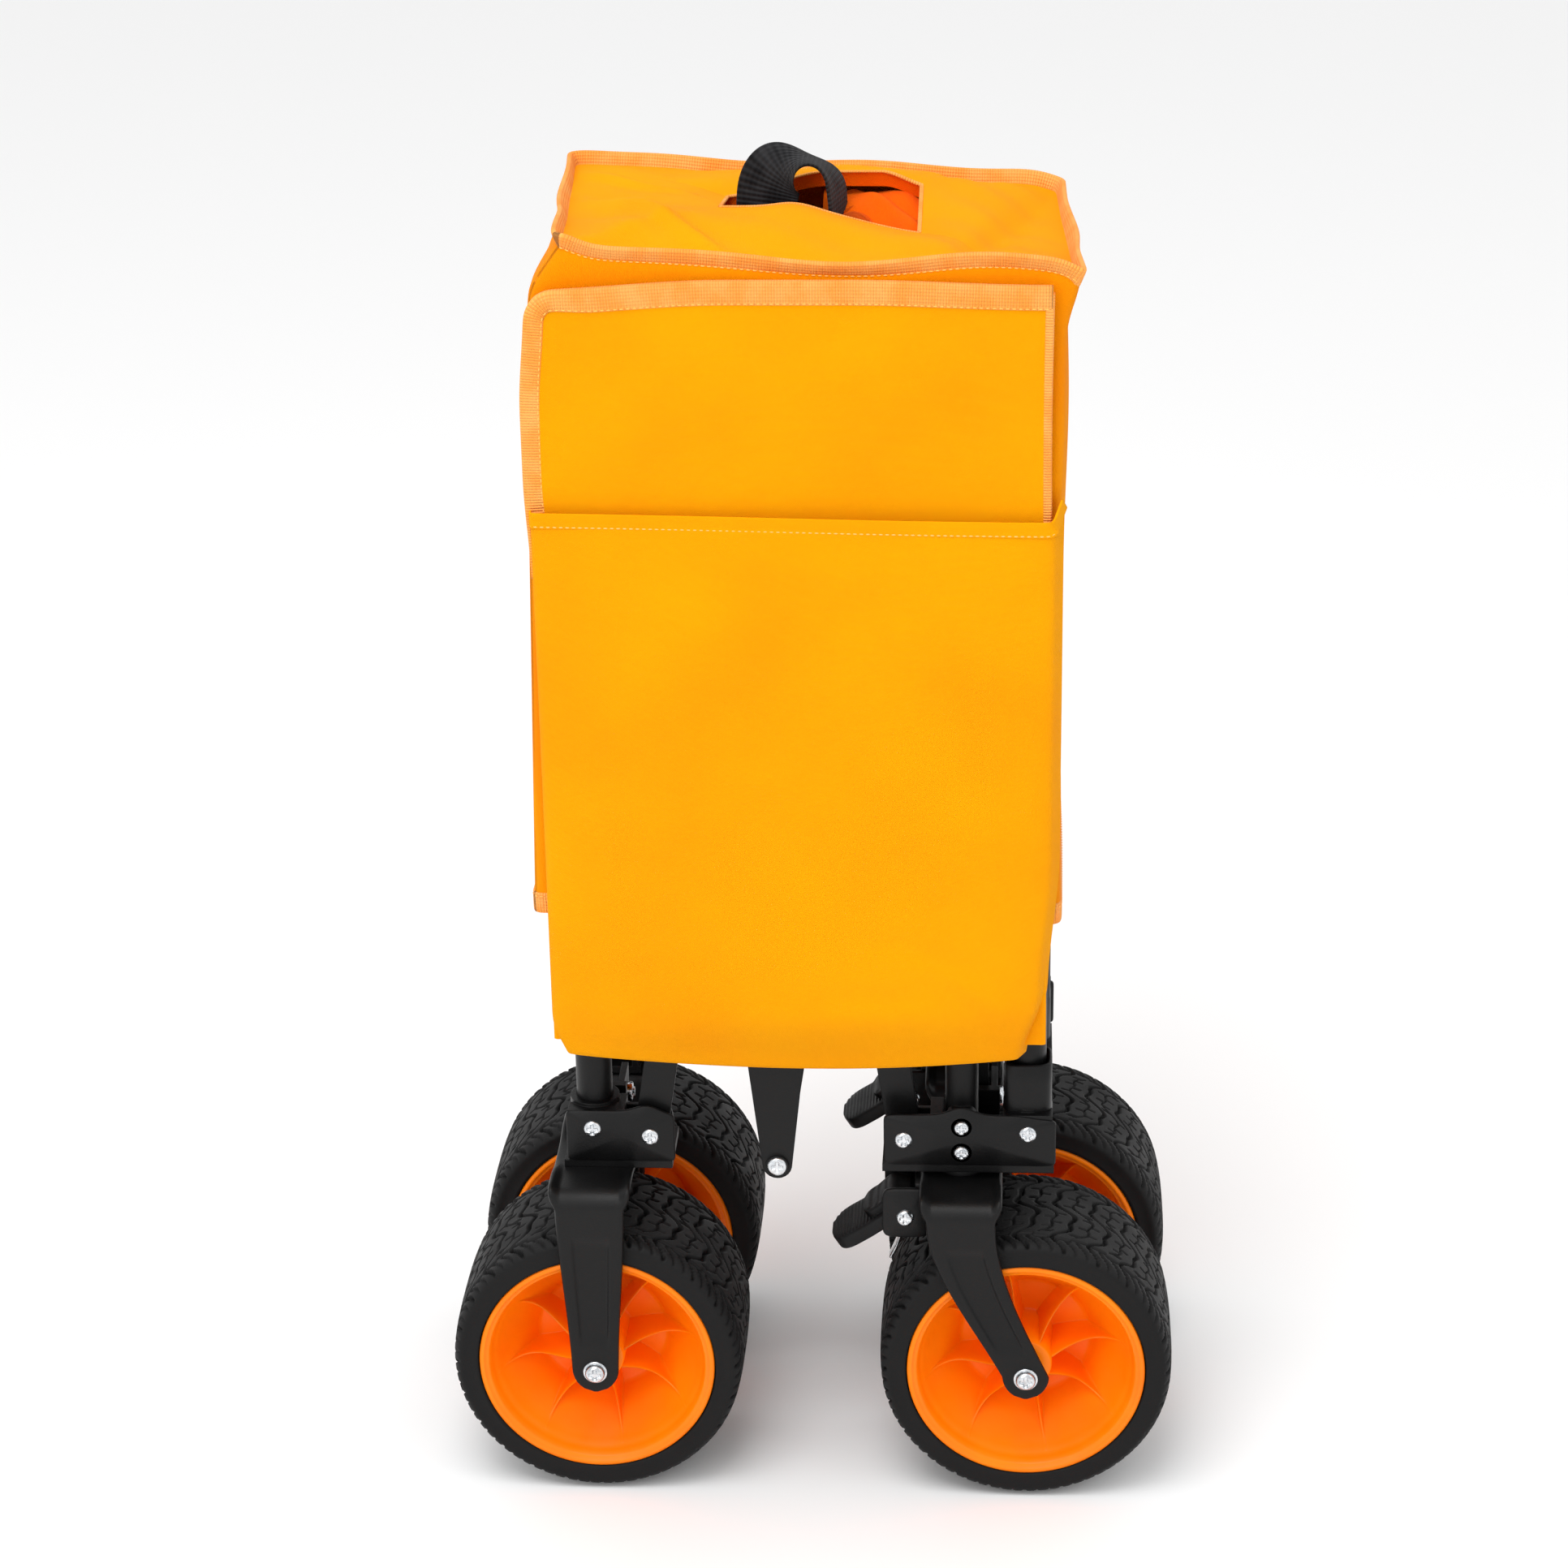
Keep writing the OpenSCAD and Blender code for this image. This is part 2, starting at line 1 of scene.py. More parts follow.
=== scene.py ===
# %% [markdown]
# # A folding wagon under its cover
# The wagon stands folded on four wide wheels. Its frame, joints and sizes come ready made, as a fixed
# frame in metres: +X is the castor end, -Y is the side that faces us, +Z is up. This lesson dresses that
# frame: tyres and rims, pressed steel forks, bolts, the webbing strap and the sewn cover.

# %% Load the frame
import math
import bpy
import numpy as np
from mathutils import Matrix, Vector


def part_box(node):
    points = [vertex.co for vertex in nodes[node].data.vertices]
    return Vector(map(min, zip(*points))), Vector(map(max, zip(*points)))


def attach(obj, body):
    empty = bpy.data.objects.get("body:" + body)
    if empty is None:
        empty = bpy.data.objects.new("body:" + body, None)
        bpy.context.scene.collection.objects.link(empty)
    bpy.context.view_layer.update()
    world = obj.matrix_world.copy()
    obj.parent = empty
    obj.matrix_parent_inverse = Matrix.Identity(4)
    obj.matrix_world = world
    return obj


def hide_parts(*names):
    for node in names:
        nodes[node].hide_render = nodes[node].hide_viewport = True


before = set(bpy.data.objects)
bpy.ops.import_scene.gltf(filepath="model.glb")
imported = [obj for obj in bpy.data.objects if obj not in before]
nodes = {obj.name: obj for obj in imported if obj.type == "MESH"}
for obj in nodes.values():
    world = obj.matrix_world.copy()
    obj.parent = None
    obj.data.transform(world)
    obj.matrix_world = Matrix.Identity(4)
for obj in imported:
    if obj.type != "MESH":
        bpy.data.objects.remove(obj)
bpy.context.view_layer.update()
TAU = 2 * math.pi
MM = 0.001
SIDES = {"right": -1.0, "left": 1.0}

# %% [markdown]
# ## Surfaces from grids
# Almost every piece here is a sheet of points: two numbers, u and v, give a place in space. On a grid of
# u and v the whole sheet is one array, and neighbouring points are joined by four-cornered faces. A
# closed ring joins its last row to its first. This is quicker than placing vertices one by one, and the
# shape stays a formula that can be read and changed.

# %% Grids, pieces and small helpers


def grid(points, wrap_u=False, wrap_v=False, uv=None, flip=False):
    """A sheet of points (nu, nv, 3) in millimetres, with its joins and its cloth coordinates."""
    return points, wrap_u, wrap_v, uv, flip


def grid_faces(nu, nv, wrap_u, wrap_v):
    """The four corners of each cell; wrapping adds the first row or column again at the end."""
    index = np.arange(nu * nv).reshape(nu, nv)
    if wrap_u:
        index = np.vstack([index, index[:1]])
    if wrap_v:
        index = np.hstack([index, index[:, :1]])
    return np.stack([index[:-1, :-1], index[1:, :-1], index[1:, 1:], index[:-1, 1:]], -1).reshape(-1, 4)


def piece(name, grids, finish, body, replaces=()):
    """One object from several grids: their points and faces are laid end to end in one mesh."""
    points, faces, uvs, start = [], [], [], 0
    for p, wrap_u, wrap_v, uv, flip in grids:
        nu, nv = p.shape[:2]
        cells = grid_faces(nu, nv, wrap_u, wrap_v)
        if flip:
            cells = cells[:, ::-1]
        flat_uv = np.zeros((nu * nv, 2)) if uv is None else uv.reshape(-1, 2)
        points.append(p.reshape(-1, 3) * MM)
        uvs.append(flat_uv[cells.ravel()])
        faces.append(cells + start)
        start += nu * nv
    points, faces, uvs = np.vstack(points), np.vstack(faces), np.vstack(uvs)
    mesh = bpy.data.meshes.new(name)
    mesh.vertices.add(len(points))
    mesh.vertices.foreach_set("co", points.ravel())
    mesh.loops.add(faces.size)
    mesh.loops.foreach_set("vertex_index", faces.ravel().astype(np.int32))
    mesh.polygons.add(len(faces))
    mesh.polygons.foreach_set("loop_start", np.arange(0, faces.size, 4, dtype=np.int32))
    mesh.polygons.foreach_set("use_smooth", np.ones(len(faces), bool))
    mesh.uv_layers.new(name="cloth").data.foreach_set("uv", uvs.ravel())
    mesh.update(calc_edges=True)
    mesh.validate()
    obj = bpy.data.objects.new(name, mesh)
    bpy.context.scene.collection.objects.link(obj)
    mesh.materials.append(finish)
    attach(obj, body)
    if replaces:
        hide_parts(*replaces)
    return obj


def lathe(radii, heights, centre, axis="y", count=64):
    """A profile of radii and heights turned once about an axis through centre."""
    a = np.linspace(0, TAU, count, endpoint=False)[:, None]
    r, h = np.asarray(radii, float)[None], np.asarray(heights, float)[None]
    c, s = r * np.cos(a), r * np.sin(a)
    h = h + 0 * a
    turned = {"x": (h, c, s), "y": (s, h, c), "z": (c, s, h)}[axis]
    return grid(np.stack(turned, -1) + np.asarray(centre, float), wrap_u=True)


def smooth(x, low, high):
    """0 below low, 1 above high, and an S-shaped step between."""
    t = np.clip((x - low) / (high - low), 0, 1)
    return t * t * (3 - 2 * t)


def middle(node):
    """Centre of a CAD node's box, in millimetres."""
    low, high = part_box(node)
    return np.array((low + high) / 2) * 1000


print("helpers ready")

# %% [markdown]
# ## Bands, stitches and soft corners
# Three more tools: a flat band that follows a path, a row of stitches, and a way to round the corners of
# a ring of points. Averaging each point with its neighbours rounds a corner, and doing it
# more often rounds it more.

# %% Tape, stitches and soft corners


def soften(points, times, closed=True):
    """Average each row with the rows before and after it, a number of times."""
    for _ in range(times):
        before, after = np.roll(points, 1, 0), np.roll(points, -1, 0)
        mixed = (before + 2 * points + after) / 4
        if not closed:
            mixed[0], mixed[-1] = points[0], points[-1]
        points = mixed
    return points


def along(path):
    """Distance along a path at each of its points."""
    steps = np.linalg.norm(np.diff(path, axis=0), axis=1)
    return np.concatenate([[0], np.cumsum(steps)])


def unit(v):
    return v / np.maximum(np.linalg.norm(v, axis=-1, keepdims=True), 1e-9)


def tangents(path, closed):
    """Direction of travel at each point of a path."""
    if closed:
        return unit(np.roll(path, -1, 0) - np.roll(path, 1, 0))
    return unit(np.gradient(path, axis=0))


def ribbon(path, across, width, thick, closed=False, square=0.5, count=16):
    """A flat section carried along a path: wide across it, thin along the normal, closed at open ends."""
    t = tangents(path, closed)
    across = np.broadcast_to(np.asarray(across, float), path.shape)
    across = unit(across - (across * t).sum(-1, keepdims=True) * t)
    normal = np.cross(t, across)
    a = np.linspace(0, TAU, count, endpoint=False)
    c, s = np.cos(a), np.sin(a)
    wide = (np.sign(c) * np.abs(c) ** square)[None] * np.broadcast_to(width, len(path))[:, None] / 2
    high = np.sign(s) * np.abs(s) ** square * thick / 2
    points = path[:, None] + across[:, None] * wide[..., None] + normal[:, None] * high[None, :, None]
    uv = np.stack([along(path)[:, None] * MM + 0 * a, wide * MM], -1)
    if not closed:
        first = path[:1, None] + (points[:1] - path[:1, None]) * 0.01
        last = path[-1:, None] + (points[-1:] - path[-1:, None]) * 0.01
        points = np.concatenate([first, points, last])
        uv = np.concatenate([uv[:1], uv, uv[-1:]])
    return grid(points, wrap_u=closed, wrap_v=True, uv=uv)


def stitches(path, out, pitch=3.6, radius=0.42):
    """A thread that rises out of the cloth and goes in again: a thin tube that swells and shrinks."""
    length = along(path)
    fine = np.linspace(0, length[-1], max(int(length[-1] / pitch) * 8, 16))
    line = np.stack([np.interp(fine, length, path[:, k]) for k in range(3)], -1)
    swell = np.clip(np.sin(TAU * fine / pitch) * 1.4 + 0.5, 0.02, 1)
    t = tangents(line, False)
    out = np.broadcast_to(np.asarray(out, float), path.shape)
    out = unit(np.stack([np.interp(fine, length, out[:, k]) for k in range(3)], -1))
    side = np.cross(t, out)
    a = np.linspace(0, TAU, 6, endpoint=False)
    ring = side[:, None] * np.cos(a)[None, :, None] + out[:, None] * np.sin(a)[None, :, None]
    return grid(line[:, None] + ring * (radius * swell)[:, None, None], wrap_v=True)


def bump(x, centre, spread):
    """A round bump of height 1."""
    return np.exp(-((x - centre) / spread) ** 2)


print("sewing helpers ready")

# %% [markdown]
# ## Finishes
# Each finish is a small node tree on Principled BSDF. Colour varies a little with slow noise, roughness
# varies too, and the fine relief (weave, powder coat grain, moulded skin) goes into the normal by Bump.
# Patterns read Object coordinates, which are metres on every piece, or the cloth coordinates of a sewn
# piece, so that threads run along the cloth.

# %% A base finish with noise and relief


class Finish:
    """A material with short ways to add nodes."""

    def __init__(self, name, colour, roughness, **constants):
        self.material = bpy.data.materials.new(name)
        self.material.use_nodes = True
        self.tree = self.material.node_tree
        self.shader = self.tree.nodes["Principled BSDF"]
        self.shader.inputs["Base Color"].default_value = (*colour, 1)
        self.shader.inputs["Roughness"].default_value = roughness
        for key, value in constants.items():
            self.shader.inputs[key.replace("_", " ")].default_value = value
        self.place = self.tree.nodes.new("ShaderNodeTexCoord")

    def node(self, kind, **settings):
        made = self.tree.nodes.new("ShaderNode" + kind)
        for key, value in settings.items():
            setattr(made, key, value)
        return made

    def link(self, a, b):
        self.tree.links.new(a, b)

    def noise(self, scale, detail=3.0, source="Object", stretch=(1, 1, 1)):
        mapping = self.node("Mapping")
        mapping.inputs["Scale"].default_value = stretch
        self.link(self.place.outputs[source], mapping.inputs["Vector"])
        noise = self.node("TexNoise")
        noise.inputs["Scale"].default_value = scale
        noise.inputs["Detail"].default_value = detail
        self.link(mapping.outputs["Vector"], noise.inputs["Vector"])
        return noise.outputs["Fac"]

    def ramp(self, value, stops):
        ramp = self.node("ValToRGB")
        elements = ramp.color_ramp.elements
        while len(elements) < len(stops):
            elements.new(0.5)
        for element, (position, colour) in zip(elements, stops):
            element.position = position
            element.color = (*colour, 1)
        self.link(value, ramp.inputs["Fac"])
        return ramp.outputs["Color"]

    def colour_by(self, value, dark, light, low=0.3, high=0.7):
        self.link(self.ramp(value, [(low, dark), (high, light)]), self.shader.inputs["Base Color"])

    def roughness_by(self, value, low, high):
        scaled = self.node("MapRange")
        scaled.inputs["From Min"].default_value = 0.3
        scaled.inputs["From Max"].default_value = 0.7
        scaled.inputs["To Min"].default_value = low
        scaled.inputs["To Max"].default_value = high
        self.link(value, scaled.inputs["Value"])
        self.link(scaled.outputs["Result"], self.shader.inputs["Roughness"])

    def maths(self, operation, a, b=None):
        made = self.node("Math", operation=operation)
        for socket, value in zip(made.inputs, (a, b)):
            if value is None:
                continue
            if isinstance(value, (int, float)):
                socket.default_value = value
            else:
                self.link(value, socket)
        return made.outputs[0]

    def relief(self, height, distance, strength=1.0, soft_edge=0.0):
        bump = self.node("Bump")
        bump.inputs["Distance"].default_value = distance
        bump.inputs["Strength"].default_value = strength
        self.link(height, bump.inputs["Height"])
        if soft_edge:
            bevel = self.node("Bevel", samples=4)
            bevel.inputs["Radius"].default_value = soft_edge
            self.link(bevel.outputs["Normal"], bump.inputs["Normal"])
        self.link(bump.outputs["Normal"], self.shader.inputs["Normal"])


print("finish helper ready")

# %% [markdown]
# ### Coated oxford cloth
# The cover is heavy polyester oxford with a coated back. Its weave is a fine basket: two sets of ridges
# cross, each about half a millimetre wide. Cloth coordinates are in metres, so a sine along each of them
# makes the threads. A slow noise gives the slight mottling that folding leaves.

# %% Cloth and tape


def cloth(name, dark, light, thread=0.0009, relief=0.00018, rough=0.78):
    """Two crossed sines of the cloth coordinates, multiplied for a basket weave."""
    finish = Finish(name, light, rough, Sheen_Weight=0.02, Sheen_Roughness=0.5, Specular_IOR_Level=0.04)
    split = finish.node("SeparateXYZ")
    finish.link(finish.place.outputs["UV"], split.inputs["Vector"])
    waves = [finish.maths("SINE", finish.maths("MULTIPLY", split.outputs[i], TAU / thread)) for i in (0, 1)]
    weave = finish.maths("MULTIPLY", waves[0], waves[1])
    mottle = finish.noise(9, 3)
    fine = finish.noise(900, 2)
    tone = finish.maths("ADD", mottle, finish.maths("MULTIPLY", fine, 0.25))
    tone = finish.maths("ADD", tone, finish.maths("MULTIPLY", weave, 0.05))
    finish.colour_by(tone, dark, light, 0.42, 0.78)
    finish.roughness_by(mottle, rough - 0.05, rough + 0.08)
    finish.relief(finish.maths("ADD", weave, finish.maths("MULTIPLY", mottle, 2.0)), relief)
    return finish.material


def tape(name, dark, light, rib=0.0016):
    """Ribs straight across the tape: a sine of the coordinate along it."""
    finish = Finish(name, light, 0.8, Sheen_Weight=0.05, Specular_IOR_Level=0.15)
    split = finish.node("SeparateXYZ")
    finish.link(finish.place.outputs["UV"], split.inputs["Vector"])
    ribs = finish.maths("SINE", finish.maths("MULTIPLY", split.outputs[0], TAU / rib))
    across = finish.maths("SINE", finish.maths("MULTIPLY", split.outputs[1], TAU / (rib * 1.2)))
    tone = finish.maths("ADD", finish.noise(60, 3), finish.maths("MULTIPLY", ribs, 0.08))
    finish.colour_by(tone, dark, light, 0.35, 0.65)
    finish.relief(finish.maths("ADD", ribs, finish.maths("MULTIPLY", across, 0.5)), 0.0003)
    return finish.material


hood_cloth = cloth("hood_oxford", (1.0, 0.345, 0.0), (1.0, 0.405, 0.0))
# The walls' cloth is the hood oxford in a darker copy: painted shade on walls that face away from the light.
shaded_hood_wall_cloth = cloth("hood_oxford_painted_shade", (1.0, 0.265, 0.0), (1.0, 0.33, 0.0))
tub_cloth = cloth("tub_oxford", (1.0, 0.10, 0.0), (1.0, 0.17, 0.0))
binding_tape = tape("binding_tape", (1.0, 0.33, 0.045), (1.0, 0.43, 0.10))
black_webbing = tape("black_webbing", (0.002, 0.002, 0.003), (0.02, 0.02, 0.022), rib=0.0026)
thread_finish = Finish("sewing_thread", (1.0, 0.50, 0.12), 0.7, Specular_IOR_Level=0.1).material
print("cloth finishes:", [m.name for m in (hood_cloth, tub_cloth, binding_tape, black_webbing)])

# %% [markdown]
# ### Rubber, moulded plastic, powder coat and zinc
# The tyre is matt rubber with dusty tread, and painted shade darkens it where the grooves are deep. The rim
# is a glossy orange moulding. The steel is coated
# with black powder: a fine orange-peel grain and soft edges, made by a Bevel node that rounds the
# shading of a sharp CAD edge. Bolts and the brake's tongue are bright zinc plate.

# %% Hard finishes


def rubber():
    finish = Finish("tyre_rubber", (0.012, 0.012, 0.0125), 0.62, Specular_IOR_Level=0.2)
    dust = finish.noise(38, 5)
    grain = finish.noise(1400, 2)
    split = finish.node("SeparateXYZ")
    finish.link(finish.place.outputs["UV"], split.inputs["Vector"])
    worn = finish.maths("MULTIPLY", split.outputs[1], 0.22)
    tone = finish.maths("ADD", finish.maths("MULTIPLY", dust, 0.6), worn)
    # Painted shade: the rubber is darker where the grooves are deep.
    tone = finish.maths("SUBTRACT", tone, finish.maths("MULTIPLY", split.outputs[0], 0.6))
    finish.colour_by(tone, (0.0008, 0.0008, 0.0009), (0.013, 0.0127, 0.013), 0.1, 0.7)
    finish.roughness_by(dust, 0.5, 0.75)
    finish.relief(finish.maths("ADD", grain, finish.maths("MULTIPLY", dust, 1.5)), 0.00012)
    return finish.material


def moulded(name, dark, light, rough, grain_scale=500, relief=0.00004):
    finish = Finish(name, light, rough, Specular_IOR_Level=0.22)
    slow = finish.noise(20, 3)
    finish.colour_by(slow, dark, light)
    finish.roughness_by(finish.noise(60, 3), rough - 0.06, rough + 0.08)
    finish.relief(finish.noise(grain_scale, 2), relief, soft_edge=0.0006)
    return finish.material


def powder_coat(name, tone, rough, soft_edge=0.0012):
    finish = Finish(name, (tone, tone, tone * 1.06), rough, Specular_IOR_Level=0.24)
    peel = finish.noise(900, 2)
    wear = finish.noise(30, 4)
    finish.colour_by(wear, (tone * 0.8, tone * 0.8, tone * 0.85), (tone * 1.25, tone * 1.25, tone * 1.3))
    finish.roughness_by(wear, rough - 0.06, rough + 0.1)
    finish.relief(peel, 0.00012, soft_edge=soft_edge)
    return finish.material


def zinc():
    finish = Finish("zinc_plate", (0.72, 0.74, 0.77), 0.22, Metallic=1.0)
    smear = finish.noise(260, 4)
    finish.colour_by(smear, (0.5, 0.53, 0.56), (0.82, 0.84, 0.86))
    finish.roughness_by(smear, 0.15, 0.34)
    finish.relief(smear, 0.00005, soft_edge=0.0005)
    return finish.material


tyre_rubber = rubber()
rim_plastic = moulded("rim_orange", (1.0, 0.18, 0.0), (1.0, 0.23, 0.0), 0.36)
nylon = moulded("black_nylon", (0.0028, 0.0028, 0.003), (0.005, 0.005, 0.0053), 0.5, 700, 0.0001)
soft_grip = moulded("soft_grip", (0.012, 0.012, 0.013), (0.022, 0.022, 0.023), 0.75, 900, 0.00015)
black_coat = powder_coat("black_powder_coat", 0.0032, 0.42)
bar_coat = powder_coat("bar_powder_coat", 0.003, 0.36)
bright_zinc = zinc()

CAD_FINISHES = (
    (("post_", "upper_post_", "clamp_", "fork_", "handle_bracket", "handle_lower_tube"), black_coat),
    (("bar_",), bar_coat),
    (("top_cap_", "brake_pedal_"), nylon),
    (("bolts_", "axle_", "brake_blade_", "handle_upper_tube"), bright_zinc),
    (("handle_grip",), soft_grip),
)
for starts, material in CAD_FINISHES:
    for name, node in nodes.items():
        if name.startswith(starts):
            node.data.materials.clear()
            node.data.materials.append(material)
print("finishes on", sum(bool(n.data.materials) for n in nodes.values()), "CAD nodes")

# %% [markdown]
# ## Tyres
# A tyre is a closed profile turned about the axle. The tread is cut into it by a height rule: for each
# point we know how far round it is and how far across, and grooves are where a wavy line across the
# tread, a narrow slit between two such lines, short rungs, or shoulder notches pass. The grooves push
# the surface in along the profile's own normal, so they run cleanly over the shoulder.

# %% Tyre
WHEEL_R = (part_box("tyre_rear_right")[1].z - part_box("tyre_rear_right")[0].z) * 500
TYRE_HALF = (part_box("tyre_rear_right")[1].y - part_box("tyre_rear_right")[0].y) * 500
LIP_R = (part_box("rim_rear_right")[1].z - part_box("rim_rear_right")[0].z) * 500
PITCHES = 24
GROOVE_DEPTH = 3.0


def tyre_profile():
    """(radius, across, tread share): flat sidewall, a round shoulder and a slightly crowned tread."""
    shoulder = 9.0
    edge = TYRE_HALF - shoulder
    crown_y = np.linspace(-edge, edge, 78)
    crown_r = WHEEL_R - 1.6 * (crown_y / TYRE_HALF) ** 4 - 0.5 * (crown_y / TYRE_HALF) ** 2
    top = crown_r[-1]
    a = np.linspace(0, math.pi / 2, 9)[1:]
    arc_r = top - shoulder * (1 - np.cos(a)) * 0.62
    arc_y = edge + shoulder * np.sin(a)
    wall_r = np.linspace(arc_r[-1], LIP_R + 0.6, 6)[1:]
    wall_y = TYRE_HALF - 0.5 * np.sin(np.linspace(0, math.pi, 6))[1:]
    seat_r = np.array([LIP_R + 0.6, LIP_R - 3])
    seat_y = np.array([TYRE_HALF - 4, TYRE_HALF - 4])
    half_r = np.concatenate([arc_r, wall_r, seat_r])
    half_y = np.concatenate([arc_y, wall_y, seat_y])
    r = np.concatenate([half_r[::-1], crown_r, half_r])
    y = np.concatenate([-half_y[::-1], crown_y, half_y])
    share = smooth(r, WHEEL_R - 5.5, WHEEL_R - 1.8)
    return r, y, share


def dip(distance, half_width):
    """1 in the middle of a groove, 0 outside, with steep straight sides."""
    return np.clip(1.5 - distance / half_width, 0, 1)


def tread_depth(turn, across):
    """Wavy cross grooves, a slit halfway between them, rungs along the slit and shoulder notches."""
    pitch = TAU * WHEEL_R / PITCHES
    wave = 0.26 * np.sin(TAU * across / 47) + 0.10 * np.sin(TAU * across / 19)
    place = turn * PITCHES / TAU + wave
    part = place - np.round(place)
    odd = np.round(place) % 2
    groove = dip(np.abs(part) * pitch, 1.15)
    slit = dip(np.abs(np.abs(part) - 0.5) * pitch, 0.6) * (np.abs(across) < 30)
    shift = across / 11 + 0.5 * odd
    rung = dip(np.abs(shift - np.round(shift)) * 11, 0.55) * (np.abs(part) > 0.24) * (np.abs(across) < 33)
    step = dip(np.abs(np.abs(across) - 33 - 2 * odd) * 1.0, 0.8) * (np.abs(part) > 0.1)
    notch = dip(np.abs(np.abs(part) - 0.33) * pitch, 0.9) * (np.abs(across) > 35)
    return GROOVE_DEPTH * np.maximum.reduce([groove, 0.65 * slit, 0.65 * rung, 0.55 * step, 0.5 * notch])


def tyre(corner, body):
    r, y, share = tyre_profile()
    dr, dy = np.gradient(r), np.gradient(y)
    length = np.hypot(dr, dy)
    normal_r, normal_y = dy / length, -dr / length
    turn = np.linspace(0, TAU, 760, endpoint=False)[:, None]
    depth = tread_depth(turn, y[None]) * share[None]
    rr = r - depth * np.abs(normal_r)
    yy = y - depth * normal_y * 0.6
    centre = middle("tyre_" + corner)
    points = np.stack([centre[0] + rr * np.sin(turn), centre[1] + yy, centre[2] + rr * np.cos(turn)], -1)
    # Cloth coordinates of the tyre: the groove depth, which darkens the rubber as painted shade in the
    # grooves, and the share of tread, which the rubber finish makes lighter as wear.
    tone = np.stack([np.clip(depth / GROOVE_DEPTH, 0, 1), np.broadcast_to(share[None], depth.shape)], -1)
    return piece("tread_tyre_" + corner, [grid(points, wrap_u=True, wrap_v=True, uv=tone)], tyre_rubber, body,
                 ["tyre_" + corner])


CORNERS = ("rear_right", "front_right", "front_left", "rear_left")
tyres = [tyre(corner, "wheel_" + corner) for corner in CORNERS]
print("tyre faces:", [len(t.data.polygons) for t in tyres])

# %% [markdown]
# ## Rims
# The rim is one orange moulding: a stepped lip, a deep bowl on each face and a hub. Eight thin ribs
# stand in each bowl. A rib runs straight from the hub to the bowl's edge, and its crest dips between them.
# The bowl and hub are turned profiles. A rib is a wall: along it we go from hub to lip, and across it up
# one side, over the crest and down the other.

# %% Rim
RIB_TURN = math.radians(12)


def bowl_depth(radius):
    """Depth of the bowl behind the tyre's face: a steep cone by the lip and a flat floor round the hub."""
    t = np.clip((LIP_R - 9 - radius) / 24, 0, 1)
    return 10 + 34.5 * t ** 0.85


def rib_wall(angle, side):
    """Along the rib, s, and over it, t: a thin fin whose crest dips in the middle and meets hub and lip."""
    s = np.linspace(0, 1, 48)[:, None]
    t = np.linspace(-1, 1, 17)[None]
    radius = 14 + s * (LIP_R - 7 - 14)
    floor = bowl_depth(radius) + 1.5
    inwards = np.clip((LIP_R - 9 - radius) / (LIP_R - 23), 0, 1)
    crest = np.minimum(9.6 + 17 * np.sin(math.pi * inwards ** 0.75), floor - 1.0)
    depth = crest + (floor - crest) * np.abs(t) ** 1.3
    around = 0.8 * np.sin(TAU * s) + np.sign(t) * (1.1 + 2.6 * np.abs(t) ** 6) * np.abs(t) ** 0.3
    x = radius * np.cos(angle) - around * np.sin(angle)
    z = radius * np.sin(angle) + around * np.cos(angle)
    return np.stack([x, side * (TYRE_HALF - depth), z], -1)


def rim_face(side):
    """Radius and depth of one face, from the barrel over the stepped lip into the bowl and the hub."""
    bowl_r = np.linspace(LIP_R - 9, 18, 26)
    radii = [LIP_R - 4.5, LIP_R - 0.4, LIP_R, LIP_R - 0.4, LIP_R - 2.6, LIP_R - 3.2, LIP_R - 3.6, LIP_R - 5.4,
             LIP_R - 6.2, LIP_R - 7.4, LIP_R - 8.2, *bowl_r, 16.6, 16, 15, 11, 6.2]
    depth = [6, 5, 2.5, 0.6, 0.3, 0.5, 1.5, 1.8, 2.6, 6.5, 9.0, *bowl_depth(bowl_r), 30, 10, 9, 8.5, 8.5]
    return np.array(radii), side * (TYRE_HALF - np.array(depth))


def rim(corner, body):
    centre = middle("rim_" + corner)
    grids = []
    for side in (-1.0, 1.0):
        radii, across = rim_face(side)
        surface = lathe(radii, across, centre, "y", 120)
        grids.append(surface[:4] + (side < 0,))
        for k in range(8):
            wall = rib_wall(k * TAU / 8 + RIB_TURN, side) + centre
            grids.append(grid(wall, flip=side > 0))
    inner = lathe([LIP_R - 4.5, LIP_R - 4.5], [-TYRE_HALF + 6, TYRE_HALF - 6], centre, "y", 120)
    grids.append(inner)
    return piece("ribbed_rim_" + corner, grids, rim_plastic, body, ["rim_" + corner])


rims = [rim(corner, "wheel_" + corner) for corner in CORNERS]
print("rim faces:", [len(r.data.polygons) for r in rims])

# %% [markdown]
# ## Forks
# Each fork is one strip of pressed steel, bent into an upside down U over its wheel. The strip's path
# is known, so the fork is a flat rounded section carried along that path. Its half width and its place
# along X change on the way down: the rear arms taper straight, the castor arms sweep out to the axle.
# A shallow recess is pressed into each arm, and the edges of the top are turned up.

# %% Fork strip
FORK_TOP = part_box("fork_rear_right")[1].z * 1000 - 4
ARM_MID = (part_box("fork_rear_right")[1].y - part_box("fork_rear_right")[0].y) * 500 - 2
AXLE_Z = middle("tyre_rear_right")[2]
ARM_END = 14.2
STRIP_T = 4.0
BEND_R = 9.0


